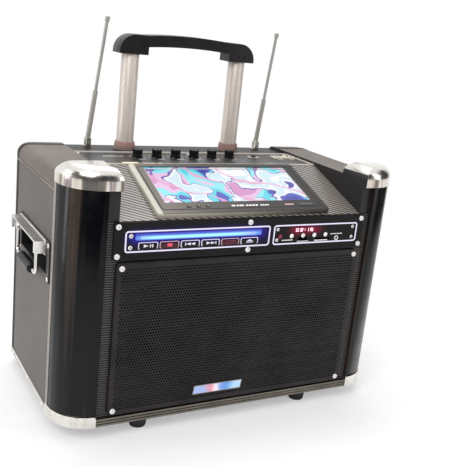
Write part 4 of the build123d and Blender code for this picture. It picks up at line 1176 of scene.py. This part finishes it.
def inner_wall(centre, normal):
    """The walls of the cheeks and caps that face each other."""
    return abs(centre.x) < cheek_inner and normal.x * centre.x < 0 and abs(normal.x) > 0.8


paint("cheeks", black_leather, lambda c, n: inner_wall(c, n) or n.y < -0.7)
paint("chrome_corners", black_leather, lambda c, n: inner_wall(c, n) and c.z > upper_corner)
paint("side_dishes", bright_plate, lambda c, n: abs(c.x) > dish_face)
paint("side_dishes", flange_leather,
      lambda c, n: flange_x < abs(c.x) <= dish_face and n.x * c.x > 0 and abs(n.x) > 0.8)

# %% [markdown]
# A bail is one bent wire with a grip moulded round its middle. The grip is whatever lies farther
# from the wire's axis than the wire's own radius, between the grip's two ends.

# %% Bail grips
grip_radius = 6.5
grip_half = 28.1
wire_radius = 3.0
for name in ("bail_left", "bail_right"):
    bail_low, bail_high = box_mm(name)
    axis_x = bail_low.x + grip_radius if name == "bail_left" else bail_high.x - grip_radius
    axis_z = bail_low.z + grip_radius
    bail_y = middle_of(name)[1]
    paint(name, grip_plastic,
          lambda c, n: abs(c.y - bail_y) < grip_half
          and (c.x - axis_x) ** 2 + (c.z - axis_z) ** 2 > wire_radius ** 2)
print("grips painted from", -grip_half, "to", grip_half)

# %% [markdown]
# ## Player plate
# A light guide lies along the tray's front and rides with it. It is a long box with bevelled edges,
# a little narrower than the bar, so that the bar's own glow frames it.

# %% Light guide
guide_front = 0.7
guide_sunk = 0.3
guide_half = 1.7
shape = bmesh.new()
add_box(shape, (bar_x - bar_half + 4, tray_low.y - guide_front, bar_z - guide_half),
        (bar_x + bar_half - 6, tray_low.y + guide_sunk, bar_z + guide_half), 0.4, 3)
piece("light_guide", shape, guide_light, "disc_tray", True)
print("light guide added")

# %% [markdown]
# Each of the six keys has a plain icon on its front. An icon is two or three bars and triangles,
# drawn once in its natural shape, and the key that skips back is the other one turned round.

# %% Key icons
skip = [[(0, 1.5), (0, -1.5), (2.8, 0)], [(-2.9, 1.5), (-2.9, -1.5), (-0.1, 0)],
        rectangle(3.0, 3.6, -1.5, 1.5)]
# play, stop, back, next, repeat, eject
icons = [
    [[(-2.9, -1.6), (0.2, 0), (-2.9, 1.6)], rectangle(0.9, 1.6, -1.6, 1.6),
     rectangle(2.3, 3.0, -1.6, 1.6)],
    [rectangle(-1.5, 1.5, -1.5, 1.5)],
    [[(-x, -y) for x, y in outline] for outline in skip],
    skip,
    [rectangle(-3.2, 2.0, 1.0, 1.6), rectangle(-2.0, 3.2, -1.6, -1.0),
     [(2.0, 0.4), (3.6, 1.3), (2.0, 2.2)], [(-2.0, -0.4), (-3.6, -1.3), (-2.0, -2.2)]],
    [[(-2.4, -0.2), (2.4, -0.2), (0, 1.9)], rectangle(-2.4, 2.4, -1.7, -0.9)],
]
icon_colours = [white_paint, red_light, lilac_paint, lilac_paint, dark_red, lilac_paint]
print("icons", len(icons))

# %% [markdown]
# Two of the keys are dark red with red prints and pink frames, and the other four are black with
# pale ones. The icons are stretched to the keys' wide shape. The frames stay on the plate, while
# each print rides on its own key and goes in with it.

# %% Keys
stretch_x = 2.1
stretch_z = 1.22
frame_outer = (25.6, 8.8, 2.0)
frame_inner = (23.4, 7.1, 1.2)
key_z = button_top - 3.2
plain_frames = []
red_frames = []
for number, (icon, colour) in enumerate(zip(icons, icon_colours), 1):
    name = "disc_button_" + str(number)
    key_x = middle_of(name)[0]
    border = [rounded(*size, key_x, key_z, 4) for size in (frame_outer, frame_inner)]
    wide = [moved([(x * stretch_x, z * stretch_z) for x, z in outline], key_x, key_z)
            for outline in icon]
    flats("key_print_" + str(number), wide, on_front(box_mm(name)[0].y), 0.12, colour, name)
    if colour in (red_light, dark_red):
        red_frames.append(border)
        nodes[name].data.materials[0] = red_key
    else:
        plain_frames.append(border)
frames("key_frames", plain_frames, on_front(plate_y), 0.35, lilac_paint, "player_plate")
frames("red_key_frames", red_frames, on_front(plate_y), 0.35, pink_paint, "player_plate")
print("keys printed", len(icons))

# %% [markdown]
# Small cross-head screws hold both units: two at the left of the disc unit, four in the module.
# A head is a spun dome. Its cross slot is two dark bars just proud of the dome, which at this size
# look the same as a cut one.

# %% Small screws


def screw_set(name, places, axis, radius, node, height=1.1):
    """Domed heads, and the two arms of each one's cross slot."""
    profile = [(radius, 0), (radius, height * 0.35), (radius * 0.8, height * 0.8),
               (radius * 0.4, height), (0.001, height)]
    heads = bmesh.new()
    slots = bmesh.new()
    for place in places:
        add_lathe(heads, profile, place, axis, 24)
        spot = Matrix.Translation(place + Vector(axis) * height * mm) @ turn_to(axis)
        for arm in ((radius, radius * 0.2), (radius * 0.2, radius)):
            bmesh.ops.create_cube(slots, size=1.0, matrix=spot @ sized(*arm, 0.12))
    piece(name + "_heads", heads, screw_metal, node, True)
    piece(name + "_slots", slots, slot_black, node)


unit_margin = 2.6
unit_low_z = module_low.z - unit_margin
unit_high_z = module_high.z + unit_margin
disc_low_x = tray_low.x - 13.5
forward = (0, -1, 0)
module_y = module_low.y
screw_set("disc_unit_screws", [at(disc_low_x + 7.5, plate_y, unit_high_z - 6.5),
                               at(disc_low_x + 7.2, plate_y, unit_low_z + 6)],
          forward, 2.7, "player_plate")
screw_set("module_screws",
          [at(x, module_y, z) for x in (module_low.x + 4.2, module_high.x - 4.2)
           for z in (module_low.z + 3.6, module_high.z - 3.6)],
          forward, 2.3, "media_module", 0.9)
print("screws added")

# %% [markdown]
# ## Module
# Four lit digits stand in the window. A real display switches seven bars on or off for each
# digit, and drawing it the same way needs only one small outline per bar.

# %% Display digits
bars_of = {"0": "abcdef", "1": "bc", "2": "abged", "5": "afgcd"}
digit_step = 6.8
colon_step = 2.6


def digit(symbol, width=4.4, height=4.6, stroke=1.0):
    """The lit bars of a seven-bar digit or a colon, from its lower left corner."""
    if symbol == ":":
        return [rectangle(0.2, 0.2 + stroke, height * share, height * share + stroke)
                for share in (0.2, 0.62)]
    half = height / 2
    bars = {
        "a": rectangle(0, width, height - stroke, height),
        "g": rectangle(0, width, half - stroke / 2, half + stroke / 2),
        "d": rectangle(0, width, 0, stroke),
        "f": rectangle(0, stroke, half, height),
        "b": rectangle(width - stroke, width, half, height),
        "e": rectangle(0, stroke, 0, half),
        "c": rectangle(width - stroke, width, 0, half),
    }
    return [bars[key] for key in bars_of[symbol]]


pen = module_low.x + 28.4 + 5
digits_z = unit_low_z + 18.6 - 2.3
lit_bars = []
for symbol in "02:15":
    lit_bars += [moved(outline, pen, digits_z) for outline in digit(symbol)]
    pen += colon_step if symbol == ":" else digit_step
flats("display_digits", lit_bars, on_front(module_y + 1.0), 0.2, digit_light, "media_module")
print("lit bars", len(lit_bars))

# %% [markdown]
# The round buttons wear white caps, the first a red one. Under each port lies a white bar, a ring
# edges the small jack, and two rows of ticks are printed beside them. Each cap is a piece of its
# own, because it rides on its own button.

# %% Button caps and ports
for number in range(1, 6):
    name = "module_button_" + str(number)
    button_x, _, button_z = middle_of(name)
    shape = bmesh.new()
    add_lathe(shape, [(3.0, 0), (3.0, 0.25), (2.6, 0.5), (0.001, 0.55)],
              at(button_x, box_mm(name)[0].y, button_z), forward, 32)
    piece("cap_" + str(number), shape, dark_red if number == 1 else cap_white, name, True)

port_z = unit_low_z + 5.4
usb_x = module_low.x + 38.4
card_x = module_low.x + 65.4
small_jack_x = module_low.x + 100.4
shape = bmesh.new()
for x0, x1, z in ((usb_x - 2.4, usb_x + 15.8, port_z - 1.9),
                  (card_x - 1.5, card_x + 20, port_z - 1.4)):
    add_flat(shape, rectangle(x0, x1, z - 1.5, z, 0.3), on_front(module_y), 0.3)
add_lathe(shape, [(1.9, 0.1), (1.9, 0.7), (2.4, 0.9), (3.2, 0.7), (3.3, 0)],
          at(small_jack_x, module_y, port_z), forward, 32)
piece("port_frames", shape, white_paint, "media_module", True)

ticks = []
for start_x, step, z in ((12.0, 4.4, port_z - 0.6), (90.0, 5.0, port_z + 5.4)):
    for index in range(4):
        x = module_low.x + start_x + index * step
        ticks.append(rectangle(x, x + step * 0.88, z, z + 1.3, 0.2))
flats("module_ticks", ticks, on_front(module_y), 0.1, white_paint, "media_module")
print("module dressed")

# %% [markdown]
# ## Monitor details
# A thin bright frame lies round the picture and a groove runs round the bezel. Both are flat
# frames that lean with the slope, so they use the slope's own placing function.

# %% Screen edge and groove
bezel_height = 6.0
monitor_foot = 3.5
monitor_top = 122.5
screen_foot = 25.0
screen_top = 110.0
screen_width = 218.0
edge_line = 1.5
groove_width = 237
groove_height = 102
groove_radius = 5.0
groove_line = 1.7


def on_bezel(x, along, lift):
    return on_slope(x, along, bezel_height + lift)


def on_screen(x, along, lift):
    return on_slope(x, along, bezel_height - 1.6 + lift)


screen_middle = (screen_foot + screen_top) / 2
screen_height = screen_top - screen_foot
outer = rounded(screen_width, screen_height, 1.2, 0, screen_middle, 3)
inner = rounded(screen_width - 2 * edge_line, screen_height - 2 * edge_line, 0.6, 0,
                screen_middle, 3)
frames("screen_edge", [(outer, inner)], on_screen, 0.7, screen_rim, "monitor_frame")

bezel_middle = (monitor_foot + monitor_top) / 2
outer = rounded(groove_width, groove_height, groove_radius, 0, bezel_middle)
inner = rounded(groove_width - 2 * groove_line, groove_height - 2 * groove_line,
                groove_radius - groove_line, 0, bezel_middle)
frames("bezel_groove", [(outer, inner)], on_bezel, 0.12, slot_black, "monitor_frame")
print("screen framed")

# %% [markdown]
# The lower bezel has three small keys with a pale dot each, a row of ticks in uneven groups, an
# oval mark and a dark window for the remote. A pen moves along the row and leaves each tick its
# own width and gap, which looks more like print than an even row.

# %% Bezel keys and marks
key_places = (-80, -67, -54)
tick_low = 16.8
tick_high = 19.8
flats("monitor_keys", [rounded(6.4, 3.6, 1.7, x, 18.2, 4) for x in key_places], on_bezel, 0.6,
      knob_plastic, "monitor_frame", True)
flats("monitor_key_dots", [rounded(2.4, 1.0, 0.45, x + 1.0, 18.9, 3) for x in key_places],
      on_bezel, 0.75, silver_paint, "monitor_frame")

pen = -20.0
ticks = []
for width, gap in ((5.2, 2.0), (3.0, 1.2), (6.4, 3.2), *[(3.6, 1.2)] * 3, (3.6, 4.0),
                   *[(2.4, 1.0)] * 3, (2.4, 4.0)):
    ticks.append(rectangle(pen, pen + width, tick_low, tick_high, 0.6))
    pen += width + gap
flats("monitor_ticks", ticks, on_bezel, 0.1, white_paint, "monitor_frame")
flats("monitor_oval", [rounded(14, 2.4, 1.1, 68, 18.4, 5)], on_bezel, 0.15, pink_paint,
      "monitor_frame")
flats("remote_window", [rounded(24, 5.2, 2.5, 94, 18.0)], on_bezel, 0.5, remote_glass,
      "monitor_frame", True)
print("monitor dressed")

# %% [markdown]
# ## Control panel
# A pale raised frame edges the panel on the lid, a painted highlight along the panel's edge, and
# four small labels lie along its front. The frame stands nearly two millimetres high, so that it
# shows even from the camera's low place.

# %% Panel edge and labels
panel_low, panel_high = box_mm("control_panel")
top_z = panel_high.z
on_panel = on_top(top_z)
panel_y = middle_of("control_panel")[1]
panel_width = panel_high.x - panel_low.x
panel_depth = panel_high.y - panel_low.y
edge_outside = 0.5
edge_inside = 2.7
outer = rounded(panel_width - 2 * edge_outside, panel_depth - 2 * edge_outside, 3.0, 0, panel_y, 5)
inner = rounded(panel_width - 2 * edge_inside, panel_depth - 2 * edge_inside, 1.6, 0, panel_y, 5)
# Painted highlight: the pale frame stands for the light caught by the panel's edge.
frames("panel_edge_highlight", [(outer, inner)], on_panel, 1.8, edge_highlight_paint, "control_panel")

label_y = panel_low.y + 5
for material, name, fields in (
        (pink_paint, "pink_labels", ((-98, -80, 8), (94, 108, 6))),
        (cream_plastic, "cream_labels", ((-126, -104, 12), (-76, -70, 8)))):
    flats(name, [rectangle(x0, x1, label_y, label_y + depth) for x0, x1, depth in fields],
          on_panel, 0.3, material, "control_panel")
print("panel edged")

# %% [markdown]
# Each of the six knobs stands in a ring of printed ticks, longer at every fifth. The knob itself
# gets ribs for the fingers and a pointer on its face, which ride with it and turn.

# %% Knobs
knob_count = 6
tick_count = 11
tick_foot = 9.4
short_tick = 11.6
long_tick = 12.6
tick_half = 0.4
rib_count = 20
rib_radius = 6.6
rib_height = 19.0
ticks = []
for number in range(1, knob_count + 1):
    name = "knob_" + str(number)
    low, high = box_mm(name)
    x, y, _ = middle_of(name)
    for step in range(tick_count):
        angle = radians(-140 + 280 * step / (tick_count - 1))
        along = Vector((sin(angle), cos(angle)))
        side = Vector((cos(angle), -sin(angle)))
        reach = long_tick if step % 5 == 0 else short_tick
        corners = rectangle(tick_foot, reach, -tick_half, tick_half)
        ticks.append([tuple(Vector((x, y)) + along * r + side * s) for r, s in corners])
    ribs = bmesh.new()
    for step in range(rib_count):
        angle = 2 * pi * step / rib_count
        centre = at(x + rib_radius * cos(angle), y + rib_radius * sin(angle), low.z + rib_height)
        place = Matrix.Translation(centre) @ Matrix.Rotation(angle, 4, "Z")
        bmesh.ops.create_cube(ribs, size=1.0, matrix=place @ sized(0.7, 0.9, 6.6))
    piece(name + "_ribs", ribs, knob_plastic, name)
    flats(name + "_pointer", [rectangle(x - 0.45, x + 0.45, y - 6.0, y - 1.4)],
          on_top(high.z - 1.2), 0.15, white_paint, name)
flats("knob_ticks", ticks, on_panel, 0.12, white_paint, "control_panel")
print("knob ticks", len(ticks))

# %% [markdown]
# The jacks sit in pale square frames with a round opening, and a slide switch lies in a silver
# bed at the right. A short dash is printed before each knob and jack, and six screws hold the
# panel down.

# %% Jacks, switch and dashes
jacks_low, jacks_high = box_mm("jack_sockets")
jack_y = middle_of("jack_sockets")[1]
jack_radius = 5.6
jack_frame = 17
jack_places = [jacks_low.x + jack_radius, jacks_high.x - jack_radius]
openings = []
for x in jack_places:
    outer = rounded(jack_frame, jack_frame, 1.6, x, jack_y)
    openings.append((outer, circle(jack_radius + 0.3, len(outer), x, jack_y)))
frames("jack_frames", openings, on_panel, 1.4, cream_plastic, "control_panel")

slide_x = 101.0
flats("slide_bed", [rounded(18, 11, 1.6, slide_x, jack_y, 5)], on_panel, 0.8, silver_paint,
      "control_panel")
shape = bmesh.new()
add_box(shape, (slide_x - 3, jack_y - 2.4, top_z + 0.8), (slide_x + 3, jack_y + 2.4, top_z + 3.2),
        0.5)
piece("slide_switch", shape, knob_plastic, "control_panel")

dashes = [rectangle(x - half, x + half, panel_y + 14, panel_y + 16)
          for x, half in ((-128, 11), (-112, 3))]
for number in range(1, knob_count + 1):
    x = middle_of("knob_" + str(number))[0]
    knob_y = box_mm("knob_" + str(number))[0].y
    dashes.append(rectangle(x - 5, x + 5, knob_y - 11.5, knob_y - 10.2))
dashes += [rectangle(x - 5, x + 5, jack_y - 14, jack_y - 12.7) for x in jack_places]
flats("panel_dashes", dashes, on_panel, 0.12, white_paint, "control_panel")
screw_set("panel_screws", [at(x, y, top_z) for x in (panel_low.x + 8, 0, panel_high.x - 8)
                           for y in (panel_low.y + 8, panel_high.y - 8)],
          (0, 0, 1), 2.4, "control_panel", 0.9)
print("control panel dressed")

# %% [markdown]
# ## Seams and edges
# A black piping covers the seam between the case and its rear shell. Its path runs up the side,
# round the cheek's edge and inwards, and is extruded by the piping's width.

# %% Rear piping
side_front = side_low.y
side_back = side_high.y
cheek_top = box_mm("cheeks")[1].z
round_edge = 14.0
piping_x = side_x + 0.5
piping_width = 8
path = [(piping_x, side_low.z), (piping_x, cheek_top - round_edge)]
path += [(piping_x - round_edge + round_edge * cos(a),
          cheek_top - round_edge + round_edge * sin(a) + 0.4)
         for a in [radians(15 * k) for k in range(1, 7)]]
path.append((cheek_inner, cheek_top + 0.4))
piping = bmesh.new()
for side in (-1, 1):
    verts = [piping.verts.new(at(side * x, side_back - piping_width, z)) for x, z in path]
    edges = [piping.edges.new(pair) for pair in zip(verts, verts[1:])]
    extruded = bmesh.ops.extrude_edge_only(piping, edges=edges)
    lift_new(piping, extruded, Vector((0, piping_width * mm, 0)))
piece("rear_piping", piping, slot_black, "side_panels", True)
print("piping points", len(path))

# %% [markdown]
# The lid meets the side panel in a pale bead over a dark line. A bright angle with three rivets
# runs along the bottom edge of each side, behind the chrome corner. All are plain boxes let half
# a millimetre into the panel, so that no gap shows.

# %% Beads, lines and angles
seam_z = side_high.z
bead = bmesh.new()
line = bmesh.new()
angle = bmesh.new()
rivets = bmesh.new()
for side in (-1, 1):
    for target, z0, z1, out, bevel in (
            (bead, seam_z - 3.4, seam_z - 1.2, 0.9, 0.4),
            (line, seam_z - 4.6, seam_z - 3.4, 0.15, 0),
            (angle, side_low.z, side_low.z + 9, 1.2, 0.5)):
        x0, x1 = sorted((side * side_x - side * 0.5, side * side_x + side * out))
        add_box(target, (x0, side_front, z0), (x1, side_back, z1), bevel)
    for y in (side_front + 14, (side_front + side_back) / 2, side_back - 14):
        add_lathe(rivets, [(2.6, 0), (2.4, 0.5), (1.4, 0.95), (0.001, 1.1)],
                  at(side * (side_x + 1.2), y, side_low.z + 4.5), (side, 0, 0), 20)
piece("lid_beads", bead, bead_vinyl, "side_panels", True)
piece("lid_lines", line, slot_black, "side_panels")
piece("edge_angles", angle, chrome, "side_panels", True)
piece("edge_rivets", rivets, screw_metal, "side_panels", True)
print("seams added")

# %% [markdown]
# ## Handles, tubes and antennas
# Four screws hold each side handle's dish. They ride with the dish, not with the bail, so they
# stay when the bail swings.

# %% Handle screws
dish_low, dish_high = box_mm("side_dishes")
inset = 5.5
for side, word in ((-1, "left"), (1, "right")):
    spots = [at(side * (dish_face - 0.2), y, z) for y in (dish_low.y + inset, dish_high.y - inset)
             for z in (dish_low.z + inset, dish_high.z - inset)]
    screw_set("handle_screws_" + word, spots, (side, 0, 0), 3.0, "side_dishes", 1.2)
print("side handles dressed")

# %% [markdown]
# Bushes and bright lips edge the trolley tubes where they leave the case, and dark plugs close the
# screw holes of the grip. All of them are round, so each is one profile, spun.

# %% Tube bushes and grip plugs
tube_y = middle_of("trolley_tubes")[1]
tube_radius = 12.5
tube_x = box_mm("trolley_tubes")[1].x - tube_radius
collar_z = box_mm("trolley_sleeves")[1].z
grip_low = box_mm("trolley_grip")[0]
bushes = bmesh.new()
lips = bmesh.new()
plugs = bmesh.new()
for side in (-1, 1):
    add_lathe(bushes, [(12.75, 0), (14.6, 0), (14.6, 2.6), (13.8, 3.8), (12.75, 3.8)],
              at(side * tube_x, tube_y, collar_z), (0, 0, 1))
    add_lathe(lips, [(14.8, 0.0), (15.9, 0.2), (15.9, 0.8), (15.4, 1.1), (14.8, 1.1)],
              at(side * tube_x, tube_y, flat_z), (0, 0, 1))
    for offset in (-5, 5):
        add_lathe(plugs, [(2.4, 0.0), (2.4, 0.5), (1.7, 0.6), (1.6, 0.1), (0.001, 0.1)],
                  at(side * tube_x + offset, grip_low.y + 0.1, grip_low.z + 8), forward, 20)
piece("tube_bushes", bushes, copper_ring, "trolley_sleeves", True)
piece("tube_lips", lips, trim_metal, "trolley_sleeves", True)
piece("grip_plugs", plugs, slot_black, "trolley_grip", True)
print("trolley dressed", round(tube_x, 1), round(collar_z, 1))

# %% [markdown]
# ## Wheels and feet
# The tyres get cross treads and pale hub caps. A tread is one small block, turned round the wheel,
# so that the tyre shows its rolling at every pose. The feet get two moulded rings each.

# %% Wheels and feet
tread_count = 36
for name in ("wheel_left", "wheel_right"):
    low, high = box_mm(name)
    wheel_x, wheel_y, wheel_z = middle_of(name)
    radius = (high.z - low.z) / 2
    treads = bmesh.new()
    for step in range(tread_count):
        place = Matrix.Translation(at(wheel_x, wheel_y, wheel_z))
        place = place @ Matrix.Rotation(2 * pi * step / tread_count, 4, "X")
        place = place @ Matrix.Translation((0, 0, (radius - 0.45) * mm))
        block = sized(high.x - low.x - 7, 2.0, 0.8)
        bmesh.ops.create_cube(treads, size=1.0, matrix=place @ block)
    piece(name + "_tread", treads, rubber, name)
    caps = bmesh.new()
    for way, face_x in ((-1, low.x), (1, high.x)):
        add_lathe(caps, [(17.0, -2.8), (16.4, -2.2), (8.4, -1.7), (7.8, -1.0), (7.4, -1.0)],
                  at(face_x, wheel_y, wheel_z), (way, 0, 0), 40)
    piece(name + "_caps", caps, silver_paint, name, True)

feet_low, feet_high = box_mm("feet")
foot_radius = (feet_high.y - feet_low.y) / 2
foot_x = feet_high.x - foot_radius
rings = bmesh.new()
for side in (-1, 1):
    for height, radius in ((1.6, foot_radius - 2.9), (4.4, foot_radius - 2.4)):
        add_lathe(rings, [(radius - 0.4, -0.6), (radius + 0.5, 0), (radius - 0.3, 0.6)],
                  at(side * foot_x, middle_of("feet")[1], height), (0, 0, 1), 40)
piece("foot_rings", rings, rubber, "feet", True)
print("wheels and feet dressed")

# %% [markdown]
# ## Back
# The rear plate gets six screws, nine vent lines, and the two marks of a mains rocker. Dark raised
# lines read as slots from behind, and the plate's mesh stays as it came.

# %% Back
rear_low, rear_high = box_mm("rear_plate")
rear_y = rear_high.y
inset = 6
screw_set("rear_screws", [at(x, rear_y, z) for x in (rear_low.x + inset, rear_high.x - inset)
                          for z in (rear_low.z + inset, middle_of("rear_plate")[2],
                                    rear_high.z - inset)],
          (0, 1, 0), 3.0, "rear_plate")


def on_back(x, z, lift):
    return at(x, rear_y + lift, z)


vent_rows = 9
vent_step = 4.2
vent_half = 34
vent_heights = [rear_high.z - 30 - row * vent_step for row in range(vent_rows)]
flats("vent_marks", [rectangle(-vent_half, vent_half, z, z + 1.8) for z in vent_heights],
      on_back, 0.15, slot_black, "rear_plate")
rocker_low, rocker_high = box_mm("power_rocker")
rocker_x = middle_of("power_rocker")[0]
shape = bmesh.new()
add_flat(shape, rectangle(rocker_x - 0.5, rocker_x + 0.5, rocker_high.z + 3, rocker_high.z + 7),
         on_back, 0.15)
add_ring(shape, circle(2.4, 24, rocker_x, rocker_low.z - 5.5),
         circle(1.6, 24, rocker_x, rocker_low.z - 5.5), on_back, 0.15)
piece("rocker_marks", shape, white_paint, "rear_plate")
print("back dressed")
